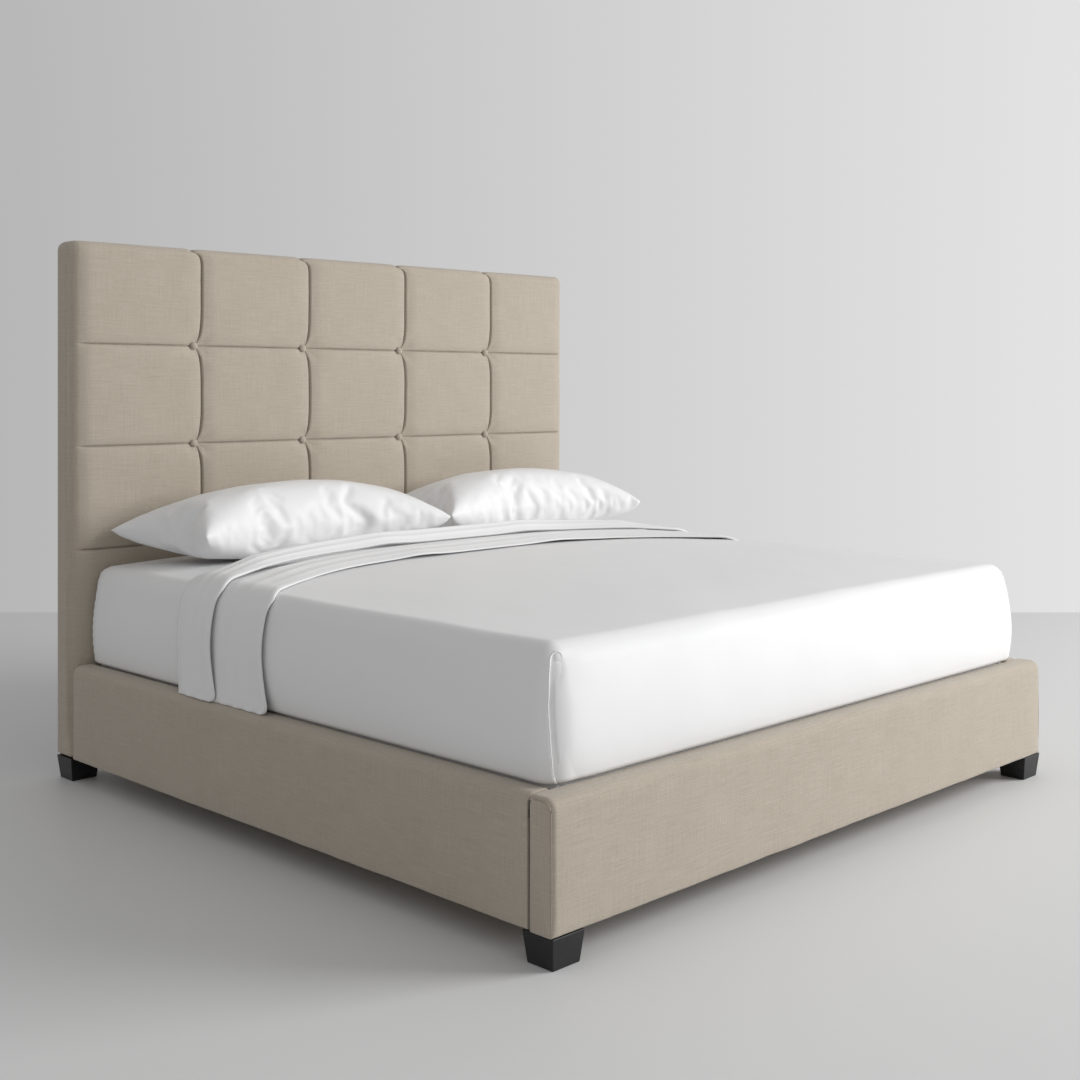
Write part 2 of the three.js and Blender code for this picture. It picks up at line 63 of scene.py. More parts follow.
HEADBOARD_LOW, HEADBOARD_HIGH = (np.array(c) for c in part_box("headboard_cover"))
FOOTBOARD_LOW, FOOTBOARD_HIGH = (np.array(c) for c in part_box("footboard_cover"))
MATTRESS_LOW, MATTRESS_HIGH = (np.array(c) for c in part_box("mattress"))
RAIL_LOW, RAIL_HIGH = (np.array(c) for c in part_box("side_rail_cover_right"))
RAIL_TOP = RAIL_HIGH[2]
HEADBOARD_FRONT = HEADBOARD_LOW[1]
TUFT_COLUMNS = 5
ALL_ROWS = 5
BUTTON_ROWS = 3
TUFT_PITCH = (HEADBOARD_HIGH[0] - HEADBOARD_LOW[0]) / TUFT_COLUMNS
ROW_PITCH = (HEADBOARD_HIGH[2] - HEADBOARD_LOW[2]) / ALL_ROWS
SEAM_X = [HEADBOARD_LOW[0] + TUFT_PITCH * i for i in range(1, TUFT_COLUMNS)]
SEAM_Z = [HEADBOARD_HIGH[2] - ROW_PITCH * i for i in range(1, BUTTON_ROWS + 1)]
SLATS = [f"slat_{i:02d}" for i in range(1, 12)]


# ---------- settings ----------


def length(name, description, default, low=0.0, high=1.0):
    """A size in metres."""
    return FloatProperty(
        name=name, description=description, default=default, min=low, max=high,
        subtype="DISTANCE", unit="LENGTH")


def tint(name, description, default):
    """A colour."""
    return FloatVectorProperty(
        name=name, description=description, default=default, size=3, min=0.0, max=1.0,
        subtype="COLOR")


class HeadboardSettings(bpy.types.PropertyGroup):
    valley_depth: length("Valley depth", "Depth of the vertical channels", 0.026)
    valley_width: length("Valley width", "Distance over which a panel rounds into a channel", 0.014)
    bow: length("Seam bow", "How far a channel bows sideways between two buttons", 0.029)
    dimple: FloatProperty(
        name="Button dimple", default=0.55,
        description="Depth of the dimple round a button, as a share of the valley's")
    cross_depth: length("Cross seam depth", "Depth of the roll at a horizontal seam", 0.009)
    cross_width: length("Cross seam width", "Distance over which a panel rounds into it", 0.036)
    edge_roll: length("Edge roll", "How far the face falls back at its side edges", 0.0255)
    edge_round: length("Edge rounding", "Radius of the front edges", 0.030)
    button_radius: length("Button radius", "Radius of a covered button", 0.0125)
    button_height: length("Button height", "Height of a covered button's dome", 0.011)


class LinenSettings(bpy.types.PropertyGroup):
    light: tint("Light thread", "Colour of the pale threads", (0.535, 0.478, 0.402))
    dark: tint("Dark thread", "Colour of the dark threads", (0.385, 0.332, 0.264))
    pitch: length("Thread pitch", "Distance between two threads", 0.0016)
    slub: FloatProperty(name="Slub", description="Strength of the slubs", default=1.0)


class BeddingSettings(bpy.types.PropertyGroup):
    colour: tint("Cotton", "Colour of the sheets and pillowcases", (0.86, 0.86, 0.865))
    bulge: length("Side bulge", "How far the sides swell out above the rails", 0.030)
    crown: length("Crown", "How far the middle of the top stands above its edges", 0.015)
    lower_edge: FloatProperty(
        name="Lower fold", description="Where the lower fold's edge crosses the side",
        default=-0.030, subtype="DISTANCE", unit="LENGTH")
    upper_edge: FloatProperty(
        name="Upper fold", description="Where the upper fold's edge crosses the side",
        default=0.205, subtype="DISTANCE", unit="LENGTH")
    back_edge: FloatProperty(
        name="Back hem", description="Where the turned-back part ends at the side",
        default=0.412, subtype="DISTANCE", unit="LENGTH")
    fold_thick: length("Fold thickness", "Thickness of one folded layer", 0.0065)


class PillowSettings(bpy.types.PropertyGroup):
    cut_width: length("Case width", "Flat width of a pillowcase", 1.0, 0.1, 2.0)
    cut_depth: length("Case depth", "Flat depth of a pillowcase", 0.505, 0.1, 2.0)
    pressure: FloatProperty(name="Pressure", description="Fill pressure", default=5.0)
    frames: IntProperty(name="Steps", description="Steps of the cloth simulation", default=26)


class FittingSettings(bpy.types.PropertyGroup):
    screw: length("Screw head", "Radius of a wood screw's head", 0.0042)
    bolt: length("Bolt head", "Radius of a bracket bolt's head", 0.0085)
    staple: length("Staple", "Width of a staple's crown", 0.011)


class StageSettings(bpy.types.PropertyGroup):
    floor: tint("Floor", "Colour of the floor", (0.73, 0.73, 0.73))
    sky: tint("Backdrop", "Colour behind the floor", (1.0, 1.0, 1.0))
    ambient: FloatProperty(
        name="Ambient", description="Strength of the light from all sides", default=0.45)
    key: FloatProperty(
        name="Key light", description="Power of the large soft light", default=655.0,
        unit="POWER")


SETTINGS = {
    "bed_headboard": HeadboardSettings,
    "bed_linen": LinenSettings,
    "bed_bedding": BeddingSettings,
    "bed_pillows": PillowSettings,
    "bed_fittings": FittingSettings,
    "bed_stage": StageSettings,
}


# ---------- shader nodes ----------


def add(tree, kind, inputs=None, **settings):
    """A new node; its inputs are given numbers, colours or other nodes' outputs."""
    node = tree.nodes.new(kind)
    for key, value in settings.items():
        setattr(node, key, value)
    for key, value in (inputs or {}).items():
        if isinstance(value, bpy.types.NodeSocket):
            tree.links.new(value, node.inputs[key])
        else:
            node.inputs[key].default_value = value
    return node


def maths(tree, operation, a, b=0.0, clamp=False):
    """The output of one Math node."""
    return add(tree, "ShaderNodeMath", {0: a, 1: b}, operation=operation, use_clamp=clamp).outputs[0]


def noise(tree, vector, stretch, detail=3.0, rough=0.5, seed=(0.0, 0.0, 0.0)):
    """Noise on a stretched vector, so one number sets its size along each axis."""
    place = add(tree, "ShaderNodeMapping", {"Vector": vector, "Scale": stretch, "Location": seed})
    return add(tree, "ShaderNodeTexNoise", {
        "Vector": place.outputs[0], "Scale": 1.0, "Detail": detail, "Roughness": rough}).outputs[0]


def remap(tree, value, low, high, to_low=0.0, to_high=1.0):
    """A value brought from one range to another."""
    return add(tree, "ShaderNodeMapRange", {
        "Value": value, "From Min": low, "From Max": high,
        "To Min": to_low, "To Max": to_high}).outputs[0]


def blended(tree, factor, a, b):
    """Two colours mixed."""
    node = add(tree, "ShaderNodeMix", data_type="RGBA")
    for key, value in ((0, factor), (6, a), (7, b)):
        if isinstance(value, bpy.types.NodeSocket):
            tree.links.new(value, node.inputs[key])
        else:
            node.inputs[key].default_value = value
    return node.outputs[2]


def shader_group(name, inputs, outputs):
    """An empty node group with its sockets, and its two end nodes."""
    group = bpy.data.node_groups.new(name, "ShaderNodeTree")
    for label, kind, value in inputs:
        socket = group.interface.new_socket(label, in_out="INPUT", socket_type=kind)
        if value is not None:
            socket.default_value = value
    for label, kind in outputs:
        group.interface.new_socket(label, in_out="OUTPUT", socket_type=kind)
    return group, group.nodes.new("NodeGroupInput").outputs, group.nodes.new("NodeGroupOutput")


def finish_group(group, end, **values):
    """The group with its outputs joined up."""
    for label, socket in values.items():
        group.links.new(socket, end.inputs[label])
    return group


def weave_group():
    """Plain weave with uneven threads: slubs run both ways."""
    group, start, end = shader_group(
        "Woven cloth",
        [("Vector", "NodeSocketVector", None), ("Pitch", "NodeSocketFloat", 0.0016),
         ("Slub", "NodeSocketFloat", 1.0), ("Light", "NodeSocketColor", None),
         ("Dark", "NodeSocketColor", None)],
        [("Color", "NodeSocketColor"), ("Roughness", "NodeSocketFloat"),
         ("Height", "NodeSocketFloat")])
    vector = start["Vector"]
    across = noise(group, vector, (11.0, 330.0, 1.0), 3.0, 0.55)
    upright = noise(group, vector, (300.0, 9.0, 1.0), 3.0, 0.55, (3.1, 7.7, 0.0))
    short_across = noise(group, vector, (70.0, 700.0, 1.0), 2.0, 0.5, (5.3, 1.9, 0.0))
    short_upright = noise(group, vector, (700.0, 70.0, 1.0), 2.0, 0.5, (8.8, 4.2, 0.0))
    patches = noise(group, vector, (5.0, 5.0, 1.0), 2.0, 0.5, (1.0, 2.0, 0.0))
    streaks = maths(group, "ADD", maths(group, "MULTIPLY", across, 1.2),
                    maths(group, "MULTIPLY", upright, 0.8))
    fine = maths(group, "ADD", short_across, short_upright)
    both = maths(group, "ADD", maths(group, "MULTIPLY", streaks, 0.6),
                 maths(group, "MULTIPLY", fine, 0.4))
    uneven = maths(group, "SUBTRACT", both, 1.0)
    strong = maths(group, "MULTIPLY", uneven, maths(group, "MULTIPLY", start["Slub"], 1.35))
    tone = maths(group, "ADD", strong, remap(group, patches, 0.3, 0.7, 0.46, 0.54), clamp=True)
    scale = maths(group, "DIVIDE", 0.314, start["Pitch"])
    warp = add(group, "ShaderNodeTexWave", {"Vector": vector, "Scale": scale},
               bands_direction="X").outputs["Fac"]
    weft = add(group, "ShaderNodeTexWave", {"Vector": vector, "Scale": scale},
               bands_direction="Y").outputs["Fac"]
    threads = maths(group, "MULTIPLY", warp, weft)
    height = maths(group, "ADD", maths(group, "MULTIPLY", threads, 0.45), tone)
    shade = maths(group, "ADD", tone, maths(group, "MULTIPLY", maths(
        group, "SUBTRACT", threads, 0.25), 0.25), clamp=True)
    color = blended(group, shade, start["Dark"], start["Light"])
    rough = remap(group, tone, 0.2, 0.8, 0.94, 0.82)
    return finish_group(group, end, Color=color, Roughness=rough, Height=height)


def crease_group():
    """Soft creases and a very fine weave, for pressed cotton."""
    group, start, end = shader_group(
        "Pressed cotton",
        [("Vector", "NodeSocketVector", None), ("Crease", "NodeSocketFloat", 1.0),
         ("Color", "NodeSocketColor", None)],
        [("Color", "NodeSocketColor"), ("Roughness", "NodeSocketFloat"),
         ("Height", "NodeSocketFloat")])
    vector = start["Vector"]
    broad = noise(group, vector, (4.5, 3.0, 5.0), 2.0, 0.45)
    small = noise(group, vector, (24.0, 15.0, 20.0), 3.0, 0.5, (2.0, 9.0, 4.0))
    thread = noise(group, vector, (900.0, 900.0, 900.0), 1.0)
    creases = maths(group, "ADD", broad, maths(group, "MULTIPLY", small, 0.10))
    height = maths(group, "ADD", maths(group, "MULTIPLY", creases, start["Crease"]),
                   maths(group, "MULTIPLY", thread, 0.006))
    grey = blended(group, remap(group, thread, 0.3, 0.7, 0.0, 0.05), start["Color"],
                   (0.70, 0.71, 0.73, 1.0))
    color = blended(group, remap(group, small, 0.35, 0.65, 0.0, 0.04), grey,
                    (0.80, 0.80, 0.80, 1.0))
    rough = remap(group, small, 0.3, 0.7, 0.50, 0.60)
    return finish_group(group, end, Color=color, Roughness=rough, Height=height)


def grain_group():
    """Sawn wood: growth rings along Y, with pores."""
    group, start, end = shader_group(
        "Wood grain",
        [("Vector", "NodeSocketVector", None), ("Rings", "NodeSocketFloat", 40.0),
         ("Light", "NodeSocketColor", None), ("Dark", "NodeSocketColor", None)],
        [("Color", "NodeSocketColor"), ("Roughness", "NodeSocketFloat"),
         ("Height", "NodeSocketFloat")])
    vector = start["Vector"]
    drift = noise(group, vector, (6.0, 0.9, 6.0), 2.0)
    pores = noise(group, vector, (500.0, 14.0, 500.0), 2.0, 0.6)
    bent = add(group, "ShaderNodeVectorMath", {0: vector, 1: drift}, operation="ADD").outputs[0]
    rings = add(group, "ShaderNodeTexWave", {
        "Vector": add(group, "ShaderNodeMapping", {
            "Vector": bent, "Scale": (1.0, 0.05, 1.0)}).outputs[0],
        "Scale": start["Rings"], "Distortion": 2.5, "Detail": 3.0},
        bands_direction="DIAGONAL").outputs["Fac"]
    tone = maths(group, "ADD", maths(group, "MULTIPLY", rings, 0.7),
                 maths(group, "MULTIPLY", pores, 0.3), clamp=True)
    color = blended(group, tone, start["Dark"], start["Light"])
    return finish_group(group, end, Color=color, Roughness=remap(group, tone, 0, 1, 0.75, 0.5),
                        Height=tone)


def handled_group():
    """Faint handling marks and dust on a painted or coated surface."""
    group, start, end = shader_group(
        "Handling marks",
        [("Vector", "NodeSocketVector", None), ("Color", "NodeSocketColor", None),
         ("Worn", "NodeSocketColor", None), ("Amount", "NodeSocketFloat", 0.3)],
        [("Color", "NodeSocketColor"), ("Roughness", "NodeSocketFloat"),
         ("Height", "NodeSocketFloat")])
    vector = start["Vector"]
    cloud = noise(group, vector, (14.0, 14.0, 14.0), 4.0, 0.6)
    scratch = noise(group, vector, (260.0, 40.0, 90.0), 3.0, 0.55)
    marks = remap(group, maths(group, "MULTIPLY", cloud, scratch), 0.22, 0.42)
    color = blended(group, maths(group, "MULTIPLY", marks, start["Amount"]), start["Color"],
                    start["Worn"])
    return finish_group(group, end, Color=color, Roughness=remap(group, cloud, 0.3, 0.7, 0.30, 0.46),
                        Height=scratch)


GROUP_MAKERS = {
    "Woven cloth": weave_group,
    "Pressed cotton": crease_group,
    "Wood grain": grain_group,
    "Handling marks": handled_group,
}


def shared_group(name):
    """A node group by name, built the first time it is asked for."""
    return bpy.data.node_groups.get(name) or GROUP_MAKERS[name]()


def finish_material(name, group, values, bump, distance, follows_cloth=False, **shader):
    """A material around one shared group: its values, the bump's strength and depth, and
    the constants on the shader's own sockets."""
    made = bpy.data.materials.get(name)
    if made:
        return made
    material = bpy.data.materials.new(name)
    material.use_nodes = True
    tree = material.node_tree
    principled = tree.nodes["Principled BSDF"]
    if follows_cloth:
        vector = add(tree, "ShaderNodeUVMap", uv_map="weave").outputs[0]
    else:
        vector = add(tree, "ShaderNodeTexCoord").outputs["Object"]
    pattern = add(tree, "ShaderNodeGroup", node_tree=shared_group(group))
    tree.links.new(vector, pattern.inputs["Vector"])
    for key, value in values.items():
        pattern.inputs[key].default_value = value
    relief = add(tree, "ShaderNodeBump", {
        "Height": pattern.outputs["Height"], "Strength": bump, "Distance": distance})
    tree.links.new(pattern.outputs["Color"], principled.inputs["Base Color"])
    tree.links.new(pattern.outputs["Roughness"], principled.inputs["Roughness"])
    tree.links.new(relief.outputs[0], principled.inputs["Normal"])
    for key, value in shader.items():
        principled.inputs[key.replace("_", " ")].default_value = value
    return material


def rgb(colour):
    """A colour with its alpha."""
    return (*colour, 1.0)


def linen():
    s = bpy.context.scene.bed_linen
    return finish_material(
        "Slubbed linen", "Woven cloth",
        {"Pitch": s.pitch, "Slub": s.slub, "Light": rgb(s.light), "Dark": rgb(s.dark)},
        0.5, 0.0009, True, Sheen_Weight=0.25, Sheen_Roughness=0.5, Specular_IOR_Level=0.25)


def cotton(name, crease, depth):
    """White bed linen, more or less creased."""
    colour = bpy.context.scene.bed_bedding.colour
    return finish_material(
        name, "Pressed cotton", {"Color": rgb(colour), "Crease": crease},
        0.3, depth, Sheen_Weight=0.1, Sheen_Roughness=0.4, Specular_IOR_Level=0.3)


def sateen():
    return cotton("White cotton sateen", 1.0, 0.010)


def percale():
    return cotton("White cotton percale", 0.8, 0.009)


def black_lacquer():
    return finish_material(
        "Black satin lacquer", "Handling marks",
        {"Color": (0.008, 0.008, 0.009, 1), "Worn": (0.04, 0.039, 0.037, 1), "Amount": 0.3},
        0.10, 0.0004, Coat_Weight=0.12, Coat_Roughness=0.25, Specular_IOR_Level=0.35)


def black_steel():
    return finish_material(
        "Black coated steel", "Handling marks",
        {"Color": (0.022, 0.022, 0.024, 1), "Worn": (0.16, 0.155, 0.15, 1), "Amount": 0.5},
        0.25, 0.0005, Metallic=0.6)


def bright_steel():
    return finish_material(
        "Zinc plated steel", "Handling marks",
        {"Color": (0.52, 0.53, 0.55, 1), "Worn": (0.30, 0.29, 0.27, 1), "Amount": 0.6},
        0.15, 0.0003, Metallic=1.0)


def nylon():
    return finish_material(
        "Moulded nylon", "Handling marks",
        {"Color": (0.02, 0.02, 0.021, 1), "Worn": (0.09, 0.09, 0.09, 1), "Amount": 0.3},
        0.2, 0.0003)


def pine():
    return finish_material(
        "Sawn pine", "Wood grain",
        {"Rings": 26.0, "Light": (0.66, 0.47, 0.27, 1), "Dark": (0.46, 0.28, 0.13, 1)},
        0.35, 0.0006)


def birch():
    return finish_material(
        "Birch slat", "Wood grain",
        {"Rings": 17.0, "Light": (0.72, 0.56, 0.37, 1), "Dark": (0.58, 0.41, 0.24, 1)},
        0.25, 0.0004)


def ticking():
    return finish_material(
        "Mattress ticking", "Woven cloth",
        {"Pitch": 0.0012, "Slub": 0.25, "Light": (0.78, 0.77, 0.74, 1),
         "Dark": (0.62, 0.62, 0.60, 1)},
        0.4, 0.0008, True, Sheen_Weight=0.1)


def dust_cloth():
    return finish_material(
        "Black dust cloth", "Woven cloth",
        {"Pitch": 0.0014, "Slub": 0.5, "Light": (0.030, 0.030, 0.032, 1),
         "Dark": (0.010, 0.010, 0.011, 1)},
        0.4, 0.0006, True, Sheen_Weight=0.1)


def foam():
    return finish_material(
        "Cut foam", "Handling marks",
        {"Color": (0.78, 0.70, 0.42, 1), "Worn": (0.62, 0.52, 0.28, 1), "Amount": 0.6},
        0.6, 0.0015)


# ---------- mesh making ----------


def box_skin(xs, ys, zs, drop=None):
    """Points and outward quads of a box's skin on the given lines. drop(centres, side)
    picks the quads that are left out; sides are -x, +x, -y, +y, -z and +z."""
    shape = (len(xs), len(ys), len(zs))
    on = np.zeros(shape, bool)
    on[[0, -1], :, :] = on[:, [0, -1], :] = on[:, :, [0, -1]] = True
    index = np.full(shape, -1)
    index[on] = np.arange(on.sum())
    i, j, k = np.nonzero(on)
    points = np.stack([np.asarray(xs)[i], np.asarray(ys)[j], np.asarray(zs)[k]], 1)
    slabs = {
        "-x": index[0].T, "+x": index[-1], "-y": index[:, 0], "+y": index[:, -1].T,
        "-z": index[:, :, 0].T, "+z": index[:, :, -1]}
    quads = []
    for side, slab in slabs.items():
        found = np.stack([slab[:-1, :-1], slab[1:, :-1], slab[1:, 1:], slab[:-1, 1:]], -1)
        found = found.reshape(-1, 4)
        if drop is not None:
            found = found[~drop(points[found].mean(1), side)]
        quads.append(found)
    quads = np.concatenate(quads)
    used, quads = np.unique(quads, return_inverse=True)
    return points[used], quads.reshape(-1, 4)


def rounding(points, low, high, radius):
    """Rounds a box skin's edges; radius is one number or one for each axis. Also gives
    each point's outward direction."""
    radius = np.broadcast_to(np.asarray(radius, float), points.shape)
    core = np.clip(points, low + radius, high - radius)
    out = (points - core) / radius
    out /= np.maximum(np.linalg.norm(out, axis=1, keepdims=True), 1e-9)
    normal = out / radius
    normal /= np.maximum(np.linalg.norm(normal, axis=1, keepdims=True), 1e-9)
    return core + out * radius, normal


def edge_lines(radius, angles=(0, 12, 24, 35, 45)):
    """Distances from an edge at which a rounded corner needs lines."""
    return sorted(radius * (1 - math.tan(math.radians(a))) for a in angles)


def lines(low, high, low_edge, high_edge, step):
    """Positions from low to high, close together near both ends."""
    first, last = low + low_edge[-1], high - high_edge[-1]
    count = max(2, round((last - first) / step) + 1)
    middle = np.linspace(first, last, count)
    start = [low + d for d in low_edge[:-1]]
    end = [high - d for d in reversed(high_edge[:-1])]
    return np.array([*start, *middle, *end])


def swept(sections):
    """Points and quads of a tube through closed sections, with both ends filled."""
    count, around = sections.shape[:2]
    index = np.arange(count * around).reshape(count, around)
    a, b = index[:-1], index[1:]
    quads = np.stack([a, np.roll(a, -1, 1), np.roll(b, -1, 1), b], -1).reshape(-1, 4)
    faces = [*quads.tolist(), index[0][::-1].tolist(), index[-1].tolist()]
    return sections.reshape(-1, 3), faces


def ripple(points, size, height, seed):
    """A smooth unevenness, the same each time, made of a few crossing waves."""
    random = np.random.default_rng(seed)
    total = np.zeros(len(points))
    for _ in range(7):
        way = random.normal(size=3)
        way *= random.uniform(0.6, 1.6) * 2 * math.pi / size / np.linalg.norm(way)
        total += np.sin(points @ way + random.uniform(0, 2 * math.pi))
    return total * height / 2.6


def lay_weave(mesh):
    """A UV map in metres that follows the side each face looks to."""
    mesh.uv_layers.new(name="weave")
    count = len(mesh.polygons)
    normals = np.zeros(count * 3, np.float32)
    mesh.polygons.foreach_get("normal", normals)
    totals = np.zeros(count, np.int32)
    mesh.polygons.foreach_get("loop_total", totals)
    corner = np.zeros(len(mesh.loops), np.int32)
    mesh.loops.foreach_get("vertex_index", corner)
    points = np.zeros(len(mesh.vertices) * 3, np.float32)
    mesh.vertices.foreach_get("co", points)
    points = points.reshape(-1, 3)[corner]
    main = np.repeat(np.abs(normals.reshape(-1, 3)).argmax(1), totals)
    across = np.where(main == 0, points[:, 1], points[:, 0])
    upward = np.where(main == 2, points[:, 1], points[:, 2])
    mesh.uv_layers["weave"].data.foreach_set("uv", np.stack([across, upward], 1).ravel())


def new_piece(name, points, faces, body, slot, material, smooth=True):
    """A finished object in its place, riding on its body."""
    mesh = bpy.data.meshes.new(name)
    faces = faces if isinstance(faces, list) else faces.tolist()
    mesh.from_pydata(np.asarray(points).tolist(), [], faces)
    mesh.validate()
    lay_weave(mesh)
    mesh.polygons.foreach_set("use_smooth", [smooth] * len(mesh.polygons))
    mesh.materials.append(material)
    piece = bpy.data.objects.new(name, mesh)
    bpy.context.scene.collection.objects.link(piece)
    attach(piece, body)
    return piece


def wall(piece, thickness):
    """Gives an open skin its thickness, inwards."""
    solid = piece.modifiers.new("Thickness", "SOLIDIFY")
    solid.thickness = thickness
    solid.offset = -1.0
    solid.use_quality_normals = True


def soften(piece, width, segments=3):
    """Rounds a piece's sharp edges."""
    bevel = piece.modifiers.new("Edges", "BEVEL")
    bevel.width = width
    bevel.segments = segments
    bevel.limit_method = "ANGLE"
    bevel.harden_normals = True


def merged(parts):
    """Several points and faces lists as one."""
    points, faces, start = [], [], 0
    for part_points, part_faces in parts:
        rows = part_faces if isinstance(part_faces, list) else part_faces.tolist()
        faces += [[v + start for v in row] for row in rows]
        points.append(np.asarray(part_points))
        start += len(part_points)
    return np.concatenate(points), faces


def tube(path, radius, around=8):
    """A round cord of cloth along a path."""
    path = np.asarray(path, float)
    along = np.gradient(path, axis=0)
    along /= np.linalg.norm(along, axis=1, keepdims=True)
    helper = np.array([0.0, 0.0, 1.0]) if abs(along[:, 2]).mean() < 0.8 else np.array([1.0, 0, 0])
    side = np.cross(along, helper)
    thin = np.linalg.norm(side, axis=1) < 0.2
    side[thin] = np.cross(along[thin], [0.3, 1.0, 0.2])
    side /= np.linalg.norm(side, axis=1, keepdims=True)
    up = np.cross(side, along)
    turn = np.linspace(0, 2 * math.pi, around, endpoint=False)
    ring = np.cos(turn)[None, :, None] * side[:, None] + np.sin(turn)[None, :, None] * up[:, None]
    return swept(path[:, None] + radius * ring)


def paint(node, material):
    """A better material on a CAD piece."""
    materials = bpy.data.objects[node].data.materials
    for i in range(len(materials)):
        materials[i] = material
    if not materials:
        materials.append(material)


# ---------- headboard ----------

BOW_REACH = 0.105  # from a button to where its channel stands furthest aside
PANEL_REACH = 0.055  # over which a panel falls gently towards a channel
DIMPLE_REACH = 0.042
STITCH_WIDTH = 0.0024
STITCH_DEPTH = 0.0060
ROLL_REACH = 0.060  # over which the face falls back to its side edges
BACK_ROUND = 0.028
COVER_LIP = 0.040  # of the cover, turned in behind the frame


def nearest(values, seams):
    """Distance to the nearest seam."""
    return np.abs(values[:, None] - np.array(seams)[None]).min(1)


def quarter(t):
    """A quarter-round: 0 at 0, rising to 1 with an upright end at 1."""
    t = np.clip(t, 0, 1)
    return 1 - np.sqrt(np.maximum(1 - t * t, 0))


def seam_bow(z, s):
    """How far a channel stands beside its buttons' line: nothing at a button or at the top,
    and most between them."""
    to_row = np.minimum(nearest(z, SEAM_Z), (HEADBOARD_HIGH[2] - z) * 1.8)
    t = np.clip(to_row / BOW_REACH, 0, 1)
    tufted = np.clip((z - SEAM_Z[-1]) / 0.02 + 1, 0, 1)
    return s.bow * np.sqrt(np.maximum(1 - (1 - t) ** 2, 0)) * tufted


def follow_bow(x, z, s):
    """Positions moved sideways with the bowed channels."""
    near = np.exp(-((nearest(x, SEAM_X) / 0.085) ** 2))
    return x + seam_bow(z, s) * near


def quilt_depth(x, z, s):
    """How far the cover lies behind its crowns: channels, cross seams and edge roll. A channel
    is steeper on its right, and the face falls back further at its left edge."""
    to_column, to_row = nearest(x, SEAM_X), nearest(z, SEAM_Z)
    past = x[:, None] - np.array(SEAM_X)[None]
    past = past[np.arange(len(x)), np.abs(past).argmin(1)]
    tufted = np.clip((z - SEAM_Z[-1]) / 0.012 + 1, 0, 1)
    tight = np.where(past < 0, s.valley_width, s.valley_width * 0.3)
    wide = np.clip(1 - to_column / PANEL_REACH, 0, 1) ** 2
    valley = s.valley_depth * (0.70 * quarter(1 - to_column / tight) + 0.30 * wide) * tufted
    from_button = np.hypot(to_column, to_row)
    dimple = s.valley_depth * s.dimple * np.exp(-((from_button / DIMPLE_REACH) ** 2))
    valley = np.maximum(valley, dimple)
    inside = np.clip((HEADBOARD_HIGH[0] - 0.020 - np.abs(x)) / 0.03, 0, 1)
    roll = s.cross_depth * quarter(1 - to_row / s.cross_width) * inside
    stitched = STITCH_DEPTH * np.exp(-((to_row / STITCH_WIDTH) ** 2)) * inside
    share = 1 - np.clip(valley / s.valley_depth, 0, 1)
    edge = HEADBOARD_HIGH[0] - np.abs(x)
    below_top = np.clip((HEADBOARD_HIGH[2] - z) / 0.06, 0.75, 1)
    fall = s.edge_roll * np.clip(1 - edge / ROLL_REACH, 0, 1) ** 1.5 * below_top
    fall *= np.clip((z - HEADBOARD_LOW[2]) / 0.10, 0, 1)
    fall *= np.where(x < 0, 1.0, 0.45)
    puff = 0.0030 * (2 * to_column / TUFT_PITCH - 1) ** 2
    return valley + (roll + stitched) * share + fall + puff * tufted


def gathers(x, z):
    """Small radial pleats around each button."""
    pleats = np.zeros(len(x))
    for column in SEAM_X:
        for row in SEAM_Z:
            away = np.hypot(x - column, z - row)
            angle = np.arctan2(z - row, x - column)
            pleats += 0.0013 * np.cos(9 * angle) * np.exp(-(((away - 0.019) / 0.009) ** 2))
    return pleats


def seam_lines(low, high, seams, offsets, edge):
    """Positions that crowd round each seam and both edges."""
    found = [low + d for d in edge] + [high - d for d in edge]
    for seam in seams:
        found += [seam + side * d for d in offsets for side in (-1, 1)]
    found = np.unique(np.round([f for f in found if low <= f <= high], 5))
    kept = [found[0]]
    for value in found[1:]:
        if value - kept[-1] > 0.0008:
            kept.append(value)
    return np.array(kept)


